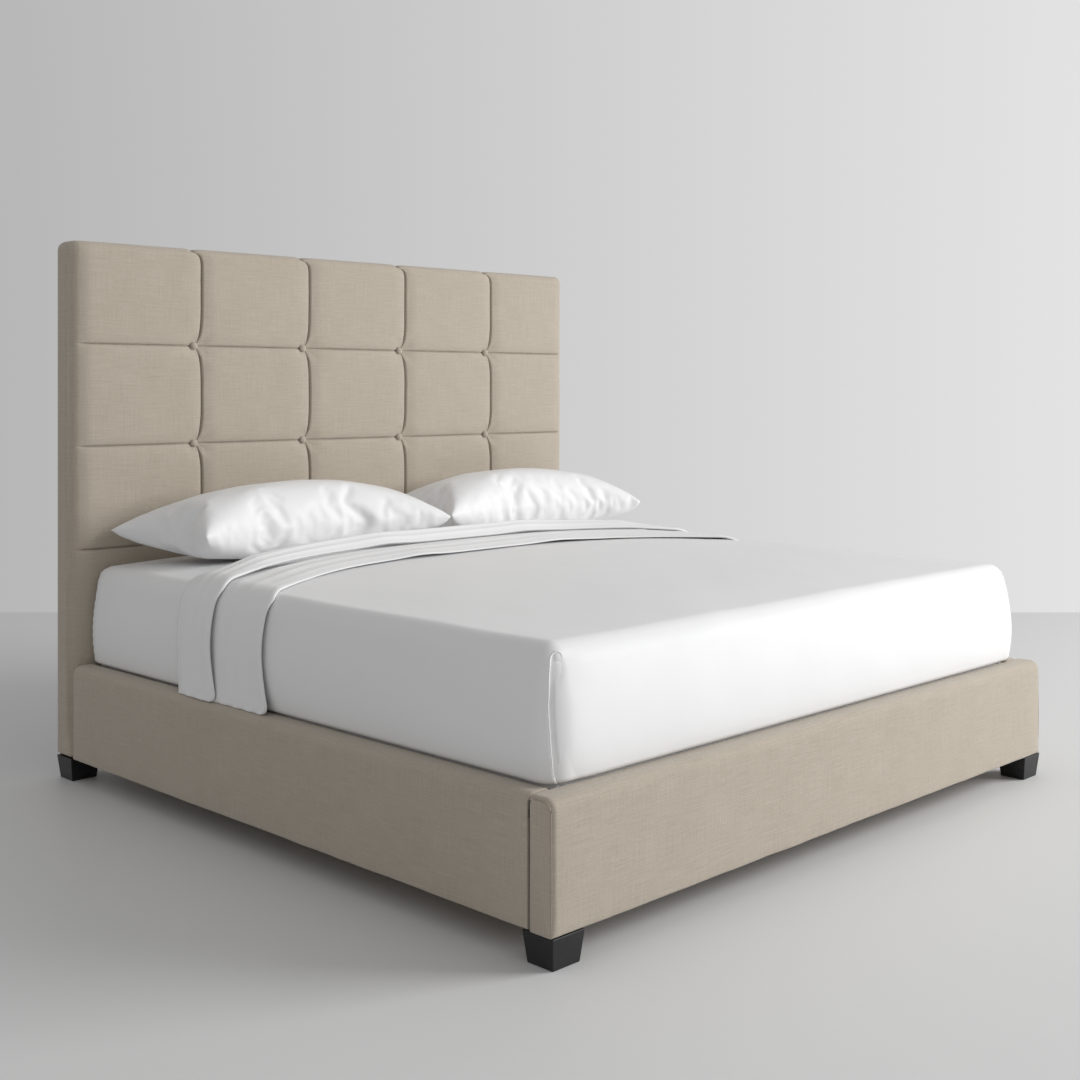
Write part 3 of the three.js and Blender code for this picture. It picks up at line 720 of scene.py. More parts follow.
class BED_OT_headboard(bpy.types.Operator):
    """Builds the tufted headboard's cover."""

    bl_idname = "bed.headboard"
    bl_label = "Headboard cover"

    def execute(self, context):
        s = context.scene.bed_headboard
        low, high = HEADBOARD_LOW, HEADBOARD_HIGH
        offsets = np.array([
            0, 1, 2.5, 4.5, 7, 10, 13.5, 17.5, 22, 27, 33, 40, 48, 57, 68, 82, 100, 124, 152,
            180, 208]) * MM
        edge = [*edge_lines(s.edge_round), 0.026, 0.032, 0.039, 0.047, 0.056, 0.068, 0.085, 0.11]
        xs = seam_lines(low[0], high[0], SEAM_X, offsets, edge)
        rows = [d for d in offsets if d < 0.17]
        zs = seam_lines(low[2], high[2], SEAM_Z, rows, edge)
        zs = np.unique(np.concatenate([zs, np.linspace(0.15, 0.52, 8)]))
        ys = lines(low[1], high[1], edge_lines(s.edge_round), edge_lines(BACK_ROUND), 0.012)

        def drop(centres, side):
            inside = (np.abs(centres[:, 0]) < high[0] - COVER_LIP) & (
                centres[:, 2] > low[2] + COVER_LIP) & (centres[:, 2] < high[2] - COVER_LIP)
            return inside if side == "+y" else np.zeros(len(centres), bool)

        flat, faces = box_skin(xs, ys, zs, drop)
        towards_back = np.clip((flat[:, 1] - low[1]) / (high[1] - low[1]), 0, 1)
        radius = s.edge_round + (BACK_ROUND - s.edge_round) * towards_back ** 2
        radii = radius[:, None] * np.ones(3)
        below = flat[:, 2] < high[2] / 2
        radii[below, 2] = 0.008
        points, normal = rounding(flat, low, high, radii)
        x, z = flat[:, 0], flat[:, 2]
        bowed = follow_bow(x, z, s) - x
        from_front = points[:, 1] - low[1]
        over = np.clip(1 - from_front / 0.075, 0, 1)
        top = np.clip((points[:, 2] - (high[2] - 0.05)) / 0.05, 0, 1)
        face = np.clip(-normal[:, 1] * 1.4, 0, 1)
        points[:, 1] += quilt_depth(x, z, s) * over
        dip = quarter(1 - nearest(x, SEAM_X) / 0.030)
        points[:, 2] -= 0.011 * dip * top * over
        points[:, 1] += gathers(x, z) * face
        points[:, 0] += bowed * np.clip(1 - from_front / 0.06, 0, 1)
        soft = (ripple(points, 0.19, 0.0006, 11) + ripple(points, 0.07, 0.0002, 12)) * face
        points += normal * (soft - 0.0002)[:, None]
        cover = new_piece("headboard_linen", points, faces, "bed_frame", "linen", linen())
        wall(cover, 0.0025)
        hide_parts("headboard_cover")
        return {"FINISHED"}


def geometry_input(tree, label, kind):
    """A new input of a tree; gives its identifier."""
    return tree.interface.new_socket(label, in_out="INPUT", socket_type=kind).identifier


def fastener_tree():
    """Puts one fitting on every point of a mesh, turned by the points' own angles."""
    tree = bpy.data.node_groups.new("Fittings on points", "GeometryNodeTree")
    ids = {
        "geometry": geometry_input(tree, "Geometry", "NodeSocketGeometry"),
        "fitting": geometry_input(tree, "Fitting", "NodeSocketObject"),
        "size": geometry_input(tree, "Size", "NodeSocketFloat"),
        "twist": geometry_input(tree, "Random twist", "NodeSocketFloat"),
        "material": geometry_input(tree, "Material", "NodeSocketMaterial"),
    }
    tree.interface.new_socket("Geometry", in_out="OUTPUT", socket_type="NodeSocketGeometry")
    start = tree.nodes.new("NodeGroupInput").outputs
    info = add(tree, "GeometryNodeObjectInfo", {"Object": start["Fitting"]})
    turn = add(tree, "GeometryNodeInputNamedAttribute", {"Name": "turn"},
               data_type="FLOAT_VECTOR")
    negative = add(tree, "ShaderNodeMath", {0: start["Random twist"], 1: -1.0},
                   operation="MULTIPLY")
    spin = add(tree, "FunctionNodeRandomValue", data_type="FLOAT")
    tree.links.new(negative.outputs[0], spin.inputs[2])
    tree.links.new(start["Random twist"], spin.inputs[3])
    spin.inputs["Seed"].default_value = 7
    twist = add(tree, "ShaderNodeCombineXYZ", {"Z": spin.outputs[1]})
    placed = add(tree, "GeometryNodeInstanceOnPoints", {
        "Points": start["Geometry"], "Instance": info.outputs["Geometry"],
        "Rotation": turn.outputs["Attribute"], "Scale": start["Size"]})
    turned = add(tree, "GeometryNodeRotateInstances", {
        "Instances": placed.outputs[0], "Rotation": twist.outputs[0]})
    real = add(tree, "GeometryNodeRealizeInstances", {"Geometry": turned.outputs[0]})
    coloured = add(tree, "GeometryNodeSetMaterial", {
        "Geometry": real.outputs[0], "Material": start["Material"]})
    end = tree.nodes.new("NodeGroupOutput")
    tree.links.new(coloured.outputs[0], end.inputs[0])
    tree["sockets"] = ids
    return tree


def scattered(name, places, turns, shape, size, twist, material, body="bed_frame"):
    """A plain mesh of one fitting at every place."""
    tree = bpy.data.node_groups.get("Fittings on points") or fastener_tree()
    points, faces = shape
    fitting_mesh = bpy.data.meshes.new(name + "_one")
    fitting_mesh.from_pydata(np.asarray(points).tolist(), [], [list(f) for f in faces])
    fitting_mesh.polygons.foreach_set("use_smooth", [True] * len(fitting_mesh.polygons))
    lay_weave(fitting_mesh)
    fitting = bpy.data.objects.new(name + "_one", fitting_mesh)
    seeds = bpy.data.meshes.new(name + "_points")
    seeds.from_pydata([list(p) for p in places], [], [])
    turn = seeds.attributes.new("turn", "FLOAT_VECTOR", "POINT")
    turn.data.foreach_set("vector", np.asarray(turns, np.float32).ravel())
    carrier = bpy.data.objects.new(name + "_points", seeds)
    for helper in (fitting, carrier):
        bpy.context.scene.collection.objects.link(helper)
    nodes = carrier.modifiers.new("Fittings", "NODES")
    nodes.node_group = tree
    ids = tree["sockets"]
    nodes[ids["fitting"]] = fitting
    nodes[ids["size"]] = size
    nodes[ids["twist"]] = twist
    nodes[ids["material"]] = material
    graph = bpy.context.evaluated_depsgraph_get()
    mesh = bpy.data.meshes.new_from_object(
        carrier.evaluated_get(graph), preserve_all_data_layers=True, depsgraph=graph)
    if not len(mesh.polygons):
        raise RuntimeError(f"{name} has no faces")
    mesh.name = name
    carrier.modifiers.clear()
    for helper in (fitting, carrier):
        bpy.data.objects.remove(helper)
    piece = bpy.data.objects.new(name, mesh)
    bpy.context.scene.collection.objects.link(piece)
    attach(piece, body)
    return piece


def turned(profile, around=20, waves=0, wave_height=0.0):
    """A turned shape from (radius, height, gather) rows, from its base to its top. The
    gather is how much of the waves a row takes."""
    angle = np.linspace(0, 2 * math.pi, around, endpoint=False)
    points, faces = [], []
    for r, h, gather in profile:
        lift = gather * wave_height * np.cos(waves * angle)
        points += np.stack([r * np.cos(angle), r * np.sin(angle), h + lift], 1).tolist()
    rings = len(profile)
    for ring in range(rings - 1):
        for a in range(around):
            b = (a + 1) % around
            faces.append([ring * around + a, ring * around + b,
                          (ring + 1) * around + b, (ring + 1) * around + a])
    faces.append([a for a in range(around)][::-1])
    faces.append([(rings - 1) * around + a for a in range(around)])
    return points, faces


class BED_OT_buttons(bpy.types.Operator):
    """Puts the covered buttons on the headboard."""

    bl_idname = "bed.buttons"
    bl_label = "Tuft buttons"

    def execute(self, context):
        s = context.scene.bed_headboard
        radius, height = s.button_radius, s.button_height
        profile = [(radius * 0.80, -0.002, 0), (radius * 0.97, 0.0, 1), (radius, height * 0.22, 1),
                   (radius * 0.97, height * 0.42, 0.8)]
        for degrees in (35, 50, 64, 76):
            a = math.radians(degrees)
            profile.append((radius * math.cos(a), height * (0.22 + 0.78 * math.sin(a)), 0.15))
        profile.append((radius * 0.06, height, 0))
        shape = turned(profile, 36, 18, 0.0005)
        base = HEADBOARD_FRONT + s.valley_depth * s.dimple + 0.0015
        places = [(x, base, z) for z in SEAM_Z for x in SEAM_X]
        turns = [(math.pi / 2, 0, 0)] * len(places)
        buttons = scattered("covered_buttons", places, turns, shape, 1.0, 0.8, linen())
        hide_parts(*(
            f"tuft_button_{row}_{column}"
            for row in range(1, BUTTON_ROWS + 1) for column in range(1, TUFT_COLUMNS)))
        return {"FINISHED"}


def staple():
    """A wire staple's crown with its two bent ends."""
    path = [(-0.0055, 0, -0.001), (-0.0052, 0, 0.0004), (-0.0045, 0, 0.0008), (0.0045, 0, 0.0008),
            (0.0052, 0, 0.0004), (0.0055, 0, -0.001)]
    return tube(path, 0.0005, 5)


class BED_OT_headboard_back(bpy.types.Operator):
    """Covers the headboard's back with a stapled dust cloth."""

    bl_idname = "bed.headboard_back"
    bl_label = "Headboard back"

    def execute(self, context):
        low, high = (np.array(c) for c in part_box("headboard_back_cloth"))
        hem_lines = [0, 0.004, 0.012, 0.02]
        xs = lines(low[0], high[0], hem_lines, hem_lines, 0.03)
        zs = lines(low[2], high[2], hem_lines, hem_lines, 0.03)
        points, faces = box_skin(xs, [high[1] - 0.0012, high[1]], zs)
        edge = np.minimum.reduce([
            points[:, 0] - low[0], high[0] - points[:, 0], points[:, 2] - low[2],
            high[2] - points[:, 2]])
        slack = np.clip(edge / 0.06, 0, 1)
        hem = 0.0006 * (edge < 0.013)
        points[:, 1] -= slack * (0.0009 + ripple(points, 0.35, 0.0006, 21))
        points[:, 1] += hem - 0.0004
        cloth = new_piece("back_dust_cloth", points, faces, "bed_frame", "dust_cloth", dust_cloth())
        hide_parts("headboard_back_cloth")
        inset, spacing = 0.007, 0.055
        places, turns = [], []
        for x in np.arange(low[0] + 0.03, high[0] - 0.02, spacing):
            for z in (low[2] + inset, high[2] - inset):
                places.append((x, high[1] + 0.0001, z))
                turns.append((-math.pi / 2, 0, 0))
        for z in np.arange(low[2] + 0.05, high[2] - 0.04, spacing):
            for x in (low[0] + inset, high[0] - inset):
                places.append((x, high[1] + 0.0001, z))
                turns.append((-math.pi / 2, math.pi / 2, 0))
        size = context.scene.bed_fittings.staple / 0.011
        scattered("back_staples", places, turns, staple(), size, 0.12, bright_steel())
        return {"FINISHED"}


# ---------- rails ----------


def arc(centre, radius, start, end, steps):
    """Points on an arc, between two angles in degrees."""
    turn = np.radians(np.linspace(start, end, steps + 1))
    return [(centre[0] + radius * math.cos(a), centre[1] + radius * math.sin(a)) for a in turn]


def rail_section(depth, height, top_round):
    """A padded rail's section, outwards and upwards from its inner lower corner: the cloth's
    outer side, then its inner side round the board."""
    board_in, board_out, under, top = 0.005, 0.035, 0.003, height - 0.012
    outer = [(board_out - 0.022, 0.0), (0.022, 0.0), (0.035, 0.0)]
    outer += arc((depth - 0.008, 0.008), 0.008, -90, 0, 4)
    outer += [(depth, z) for z in np.linspace(0.03, height - top_round - 0.02, 10)]
    outer += arc((depth - top_round, height - top_round), top_round, 0, 90, 8)
    outer += [(0.5 * (depth - top_round) + 0.006, height)]
    outer += arc((0.014, height - 0.014), 0.014, 90, 180, 5)
    outer += [(0.0, height - 0.030), (0.0004, height - 0.0495), (0.0015, height - 0.0505)]
    inner = [(board_in - 0.0003, height - 0.050), (board_in - 0.0003, top), (board_out, top),
             (board_out, under), (board_out - 0.022, under)]
    return np.array(outer), np.array(inner)


def rail_sections(depth, height, length_m, end_round, seed, top_round=0.025, first_round=None):
    """Sections all along a rail, as (along, outwards, upwards), and how many points of each
    are the cloth's outer side."""
    outer, inner = rail_section(depth, height, top_round)
    direction = np.gradient(outer, axis=0)
    normal = np.stack([direction[:, 1], -direction[:, 0]], 1)
    normal /= np.maximum(np.linalg.norm(normal, axis=1, keepdims=True), 1e-9)
    first_round = first_round or end_round
    shares = np.array([0, 0.08, 0.25, 0.5, 0.75, 1])
    along = lines(0, length_m, list(shares * first_round), list(shares * end_round), 0.022)
    held = np.clip(outer[:, 1] / 0.024, 0, 1)[:, None]
    rows = []
    for t in along:
        d = min(t, length_m - t)
        bend = first_round if t < length_m / 2 else end_round
        inset = bend - math.sqrt(max(bend ** 2 - max(bend - d, 0) ** 2, 0))
        section = outer - normal * inset * held
        at = np.column_stack([np.full(len(section), t), section])
        face = np.clip((section[:, 0] - depth * 0.7) / (depth * 0.3), 0, 1)
        calm = min(1.0, d / 0.05)
        puff = 0.0016 * np.sin(np.pi * np.clip(section[:, 1] / height, 0, 1)) * face * calm
        soft = (ripple(at, 0.24, 0.0006, seed) + ripple(at, 0.08, 0.0002, seed + 1)) * calm
        section = section + normal * (puff + soft * np.clip(0.3 + face, 0, 1))[:, None]
        section[:3] = outer[:3]
        section[-3:] = outer[-3:] - normal[-3:] * inset
        ring = np.concatenate([section, inner])
        rows.append(np.column_stack([np.full(len(ring), t), ring]))
    return np.array(rows), len(outer)


def side_rail(name, sign):
    """The padded cover of one side rail."""
    depth, height = RAIL_HIGH[0] - RAIL_LOW[0], RAIL_HIGH[2] - RAIL_LOW[2]
    span = RAIL_HIGH[1] - RAIL_LOW[1]
    rows, _ = rail_sections(depth, height, span - 0.0008, 0.012, 31 + int(sign), first_round=0.0035)
    placed = np.stack([
        sign * (RAIL_LOW[0] + rows[..., 1]), RAIL_LOW[1] + 0.0002 + rows[..., 0],
        RAIL_LOW[2] + rows[..., 2]], -1)
    if sign > 0:
        placed = placed[::-1]
    points, faces = swept(placed)
    cover = new_piece(f"rail_linen_{name}", points, faces, "bed_frame", "linen", linen())
    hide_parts(f"side_rail_cover_{name}")


def end_panel(outline, x, sign, low, height):
    """The sewn panel that closes a footboard's end, a little domed."""
    rings, depth = [], FOOTBOARD_HIGH[1] - low[1]
    centre = np.array([depth / 2, height / 2])
    reach = np.abs(outline - centre).max(0)
    for shrink, out in ((0.0075, -0.012), (0.0072, -0.0012), (0.0092, 0.0002), (0.014, 0.0008)):
        sewn = shrink * np.ones_like(outline)
        sewn[outline[:, 1] < centre[1], 1] *= 0.08
        inset = centre + (outline - centre) * (1 - sewn / reach)
        rings.append(np.column_stack([
            np.full(len(inset), x + sign * out), FOOTBOARD_HIGH[1] - inset[:, 0],
            low[2] + inset[:, 1]]))
    rings = np.array(rings)
    return swept(rings if sign < 0 else rings[:, ::-1])


class BED_OT_rails(bpy.types.Operator):
    """Builds the padded covers of the side rails and the footboard."""

    bl_idname = "bed.rails"
    bl_label = "Rails and footboard"

    def execute(self, context):
        side_rail("left", -1.0)
        side_rail("right", 1.0)
        low, high = FOOTBOARD_LOW, FOOTBOARD_HIGH
        depth, height, span = high[1] - low[1], high[2] - low[2], high[0] - low[0]
        rows, outer = rail_sections(depth, height, span - 0.0008, 0.013, 41, 0.026)
        placed = np.stack([
            low[0] + 0.0004 + rows[..., 0], high[1] - rows[..., 1], low[2] + rows[..., 2]], -1)
        parts = [swept(placed[::-1])]
        outline = rows[len(rows) // 2][:outer, 1:]
        filled = np.concatenate([outline, [[0.0, 0.0]]])
        parts.append(end_panel(filled, low[0] + 0.0004, -1, low, height))
        parts.append(end_panel(filled, high[0] - 0.0004, 1, low, height))
        centre = np.array([depth / 2, height / 2])
        reach = np.abs(filled - centre).max(0)
        for x in (low[0] + 0.0010, high[0] - 0.0010):
            rim = centre + (outline[7:-8] - centre) * (1 - 0.0058 / reach)
            path = np.column_stack([np.full(len(rim), x), high[1] - rim[:, 0], low[2] + rim[:, 1]])
            parts.append(tube(path, 0.0013, 8))
        points, faces = merged(parts)
        cover = new_piece("footboard_linen", points, faces, "bed_frame", "linen", linen())
        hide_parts("footboard_cover")
        return {"FINISHED"}


# ---------- feet, woodwork and fittings ----------


class BED_OT_feet(bpy.types.Operator):
    """Builds the four tapered feet with softened edges."""

    bl_idname = "bed.feet"
    bl_label = "Feet"

    def execute(self, context):
        for name in ("front_left", "front_right", "rear_left", "rear_right"):
            low, high = (np.array(c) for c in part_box(f"foot_{name}"))
            middle = (low + high) / 2
            points, faces = box_skin(
                np.linspace(low[0], high[0], 5), np.linspace(low[1], high[1], 5),
                np.linspace(low[2], high[2], 5))
            rise = (points[:, 2] - low[2]) / (high[2] - low[2])
            taper = 0.83 + 0.17 * rise
            points[:, :2] = middle[:2] + (points[:, :2] - middle[:2]) * taper[:, None]
            foot = new_piece(f"tapered_foot_{name}", points, faces, "bed_frame", "black_wood",
                             black_lacquer(), smooth=False)
            soften(foot, 0.0018)
            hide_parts(f"foot_{name}")
        return {"FINISHED"}


NODE_FINISHES = {
    pine: ("footboard_board", "side_rail_board_left", "side_rail_board_right",
           "slat_ledge_left", "slat_ledge_right", "centre_beam", "headboard_bottom_rail",
           "headboard_middle_rail", "headboard_top_rail", "headboard_post_left",
           "headboard_post_right"),
    birch: ("headboard_face_panel", *SLATS),
    black_lacquer: ("centre_leg_front", "centre_leg_rear"),
    black_steel: ("beam_hanger_front", "beam_hanger_rear", "corner_bracket_front_left",
                  "corner_bracket_front_right", "corner_bracket_rear_left",
                  "corner_bracket_rear_right"),
    nylon: ("levelling_foot_front", "levelling_foot_rear"),
    foam: ("headboard_foam",),
}


class BED_OT_woodwork(bpy.types.Operator):
    """Gives the frame's inner pieces their wood, steel and foam."""

    bl_idname = "bed.woodwork"
    bl_label = "Woodwork"

    def execute(self, context):
        for material, nodes in NODE_FINISHES.items():
            for node in nodes:
                paint(node, material())
        return {"FINISHED"}


def screw_head(radius):
    """A countersunk head with a driver recess."""
    return turned([
        (radius * 0.96, -0.0004, 0), (radius, 0.0002, 0), (radius * 0.93, 0.0006, 0),
        (radius * 0.45, 0.0007, 0), (radius * 0.36, -0.0004, 0)], 12)


def bolt_head(radius):
    """A low round bolt head on a washer."""
    return turned([
        (radius * 1.25, 0.0, 0), (radius * 1.25, 0.0012, 0), (radius * 0.95, 0.0014, 0),
        (radius * 0.93, 0.0034, 0), (radius * 0.72, 0.0048, 0), (radius * 0.4, 0.0050, 0),
        (radius * 0.34, 0.0026, 0)], 18)


class BED_OT_fittings(bpy.types.Operator):
    """Screws down the slats and bolts on the brackets and hangers."""

    bl_idname = "bed.fittings"
    bl_label = "Screws and bolts"

    def execute(self, context):
        s = context.scene.bed_fittings
        places, turns = [], []
        for slat in SLATS:
            low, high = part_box(slat)
            for x in (low[0] + 0.018, high[0] - 0.018, -0.012, 0.012):
                for y in (low[1] + 0.025, high[1] - 0.025):
                    if abs(x) > 0.5 or y < (low[1] + high[1]) / 2:
                        places.append((x, y, high[2] - 0.0002))
                        turns.append((0, 0, 0))
        scattered("slat_screws", places, turns, screw_head(s.screw), 1.0, 1.5, bright_steel())
        places, turns = [], []
        for end, face in (("front", 1), ("rear", -1)):
            for side, sign in (("left", -1), ("right", 1)):
                low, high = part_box(f"corner_bracket_{end}_{side}")
                wall_x = low[0] + 0.0043 if sign < 0 else high[0] - 0.0043
                wall_y = low[1] + 0.0043 if face > 0 else high[1] - 0.0043
                for z in (low[2] + 0.03, high[2] - 0.03):
                    middle_y = (low[1] + high[1]) / 2 + face * 0.006
                    middle_x = (low[0] + high[0]) / 2 - sign * 0.006
                    places.append((wall_x, middle_y, z))
                    turns.append((0, -sign * math.pi / 2, 0))
                    places.append((middle_x, wall_y, z))
                    turns.append((-face * math.pi / 2, 0, 0))
        for end, face in (("front", 1), ("rear", -1)):
            low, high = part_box(f"beam_hanger_{end}")
            ear_y = low[1] + 0.0032 if face > 0 else high[1] - 0.0032
            for x in (low[0] + 0.014, high[0] - 0.014):
                for z in (low[2] + 0.016, high[2] - 0.014):
                    places.append((x, ear_y, z))
                    turns.append((-face * math.pi / 2, 0, 0))
        scattered("bracket_bolts", places, turns, bolt_head(s.bolt * 0.75), 1.0, 1.5,
                  black_steel())
        return {"FINISHED"}


# ---------- mattress and sheets ----------


FOOT_CORNER = (0, 10, 20, 27, 32, 35.5, 38, 40, 41.5, 42.7, 43.8, 45)


def swelling(z, top):
    """How much of the side bulge there is at a height, from 0 to 1. It starts with a tight
    roll where the cloth comes up over the rail."""
    t = np.clip((z - RAIL_TOP) / (top - RAIL_TOP), 0, 1)
    roll = np.clip((z - RAIL_TOP - 0.0015) / 0.014, 0, 1)
    return np.sin(math.pi * (0.17 + 0.83 * t) ** 0.9) ** 0.9 * np.sqrt(1 - (1 - roll) ** 2)


def bed_block(offset, low_z, top_z, back_y, bulge, crown, corner, top_round, sides_only=False):
    """The bed's soft top as a skin, offset outwards from the mattress, with its sides swollen
    and its head end flat. Gives points, quads and the outward directions. With sides_only it
    has no underside and no head end."""
    low = np.array([MATTRESS_LOW[0] - offset, MATTRESS_LOW[1] - offset, low_z])
    high = np.array([MATTRESS_HIGH[0] + offset, back_y, top_z])
    edge = edge_lines(corner, FOOT_CORNER) + [corner + 0.012, corner + 0.026, corner + 0.042]
    xs = lines(low[0], high[0], edge, edge, 0.028)
    ys = lines(low[1], high[1], edge, edge_lines(0.012), 0.028)
    zs = lines(low[2], high[2], [0, 0.006],
               edge_lines(top_round, (0, 5, 10, 15, 20, 25, 30, 34, 38, 42, 45)),
               0.012)
    rolled = RAIL_TOP + np.array([0.0015, 0.0022, 0.0035, 0.0055, 0.008, 0.011, 0.0155])
    zs = np.sort(np.concatenate([zs[np.abs(zs[:, None] - rolled).min(1) > 0.0015], rolled]))
    left_out = ("-z", "+y") if sides_only else ()
    flat, faces = box_skin(xs, ys, zs, lambda centres, side: np.full(
        len(centres), side in left_out))
    blunt = np.full(flat.shape, corner)
    blunt[:, 2] = top_round
    beyond = 0.2 if sides_only else 0
    points, normal = rounding(flat, low - [0, 0, beyond], high + [0, beyond, 0], blunt)
    sideways = normal[:, :2] / np.maximum(np.linalg.norm(normal[:, :2], axis=1, keepdims=True), 1e-6)
    upright = np.clip(np.linalg.norm(normal[:, :2], axis=1) * 1.6, 0, 1)
    swell = swelling(points[:, 2], top_z) * bulge * upright
    swell *= 1 + 0.22 * np.clip(-normal[:, 1], 0, 1) - np.clip(normal[:, 1], 0, 1)
    points[:, :2] += sideways * swell[:, None]
    half = MATTRESS_HIGH[0]
    run = (flat[:, 1] - low[1]) / (MATTRESS_HIGH[1] - low[1])
    dome = (1 - (np.abs(flat[:, 0]) / half) ** 2.4) * (1 - np.clip(1 - run * 4.5, 0, 1) ** 2.2)
    points[:, 2] += crown * dome * np.clip(normal[:, 2], 0, 1)
    return points, faces, normal


class BED_OT_mattress(bpy.types.Operator):
    """Builds the mattress, with its piped edges."""

    bl_idname = "bed.mattress"
    bl_label = "Mattress"

    def execute(self, context):
        s = context.scene.bed_bedding
        low, high = MATTRESS_LOW, MATTRESS_HIGH
        points, faces, normal = bed_block(
            -0.003, low[2] + 0.0005, high[2] - 0.003, high[1] - 0.003, s.bulge,
            s.crown, 0.030, 0.043)
        height = (points[:, 2] - low[2]) / (high[2] - low[2])
        rib = sum(np.exp(-(((height - h) / 0.012) ** 2)) for h in (0.27, 0.5, 0.73))
        sides = np.abs(normal[:, 2]) < 0.3
        points -= normal * (0.003 * rib * sides)[:, None]
        parts = [(points, faces)]
        inset, squareness = 0.006, 0.09
        turn = np.linspace(0, 2 * math.pi, 161)
        x = np.sign(np.cos(turn)) * np.abs(np.cos(turn)) ** squareness
        y = np.sign(np.sin(turn)) * np.abs(np.sin(turn)) ** squareness
        middle = (low + high) / 2
        for z in (low[2] + 0.010, low[2] + 0.030):
            path = np.column_stack([
                middle[0] + x * (high[0] - middle[0] - inset),
                middle[1] + y * (high[1] - middle[1] - inset), np.full(len(turn), z)])
            step = np.linalg.norm(np.diff(path, axis=0), axis=1)
            path = path[:-1][step > 1e-4]
            parts.append(tube(path, 0.0035, 6))
        points, faces = merged(parts)
        piece = new_piece("mattress_ticking", points, faces, "mattress_set", "ticking", ticking())
        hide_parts("mattress")
        return {"FINISHED"}


FITTED_TUCK = 0.035  # of the fitted sheet, below the rails' top
TOP_TUCK = 0.012


class BED_OT_fitted_sheet(bpy.types.Operator):
    """Stretches the fitted sheet over the mattress."""

    bl_idname = "bed.fitted_sheet"
    bl_label = "Fitted sheet"

    def execute(self, context):
        s = context.scene.bed_bedding
        low, high = MATTRESS_LOW, MATTRESS_HIGH
        points, faces, normal = bed_block(
            0.0012, RAIL_TOP - FITTED_TUCK, high[2] + 0.0012, high[1] + 0.0008, s.bulge, s.crown,
            0.034, 0.047)
        centres = points[faces].mean(1)
        faces = faces[centres[:, 2] > RAIL_TOP - FITTED_TUCK + 0.001]
        used, faces = np.unique(faces, return_inverse=True)
        faces = faces.reshape(-1, 4)
        points, normal = points[used], normal[used]
        back = np.clip((points[:, 1] - (high[1] - 0.16)) / 0.16, 0, 1)
        side = np.clip(np.abs(normal[:, 0]), 0, 1)
        pull = np.sin(points[:, 2] * 260 + points[:, 1] * 90) * 0.0016
        points += normal * (pull * back ** 2 * side)[:, None]
        points += normal * ripple(points, 0.3, 0.0008, 51)[:, None]
        piece = new_piece("fitted_sheet_cotton", points, faces, "mattress_set", "cotton", percale())
        wall(piece, 0.0008)
        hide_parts("fitted_sheet")
        return {"FINISHED"}


def fold_line(z):
    """How far round the corner the tucked fold stands, towards the foot, by height."""
    return np.interp(z - RAIL_TOP, (0, 0.012, 0.035, 0.09, 0.17, 0.24, 0.30),
                     (0.017, 0.011, 0.004, -0.001, -0.006, -0.004, 0.0))


def mitre(points, normal, low, side):
    """The sheet's tucked corner: the side's cloth ends in a fold at the corner, and the foot's
    cloth dips under it, most of all in the pocket at the top."""
    sign = -1.0 if side == "left" else 1.0
    x = np.abs(low[0]) - points[:, 0] * sign
    y = points[:, 1] - low[1]
    across = (x - y) / math.sqrt(2) - fold_line(points[:, 2])
    near = np.exp(-(((x + y) / 0.15) ** 2)) * ((x + y) < 0.4)
    layer = np.where(across < 0, np.exp(-((across / 0.05) ** 2)), np.exp(-((across / 0.0025) ** 2)))
    groove = np.where(across > -0.001, np.exp(-(((across - 0.006) / 0.0045) ** 2)), 0)
    hollow = np.where(across > 0, np.exp(-(((across - 0.030) / 0.030) ** 2)), 0)
    reach = np.clip((MATTRESS_HIGH[2] - 0.012 - points[:, 2]) / 0.022, 0, 1)
    arched = np.exp(-(((points[:, 2] - MATTRESS_HIGH[2] + 0.048) / 0.028) ** 2))
    pocket = np.exp(-(((across - 0.017) / 0.012) ** 2)) * arched
    lift = (0.0004 * layer - 0.0062 * groove - 0.0045 * hollow - 0.0040 * pocket) * near * reach
    return points + normal * lift[:, None]


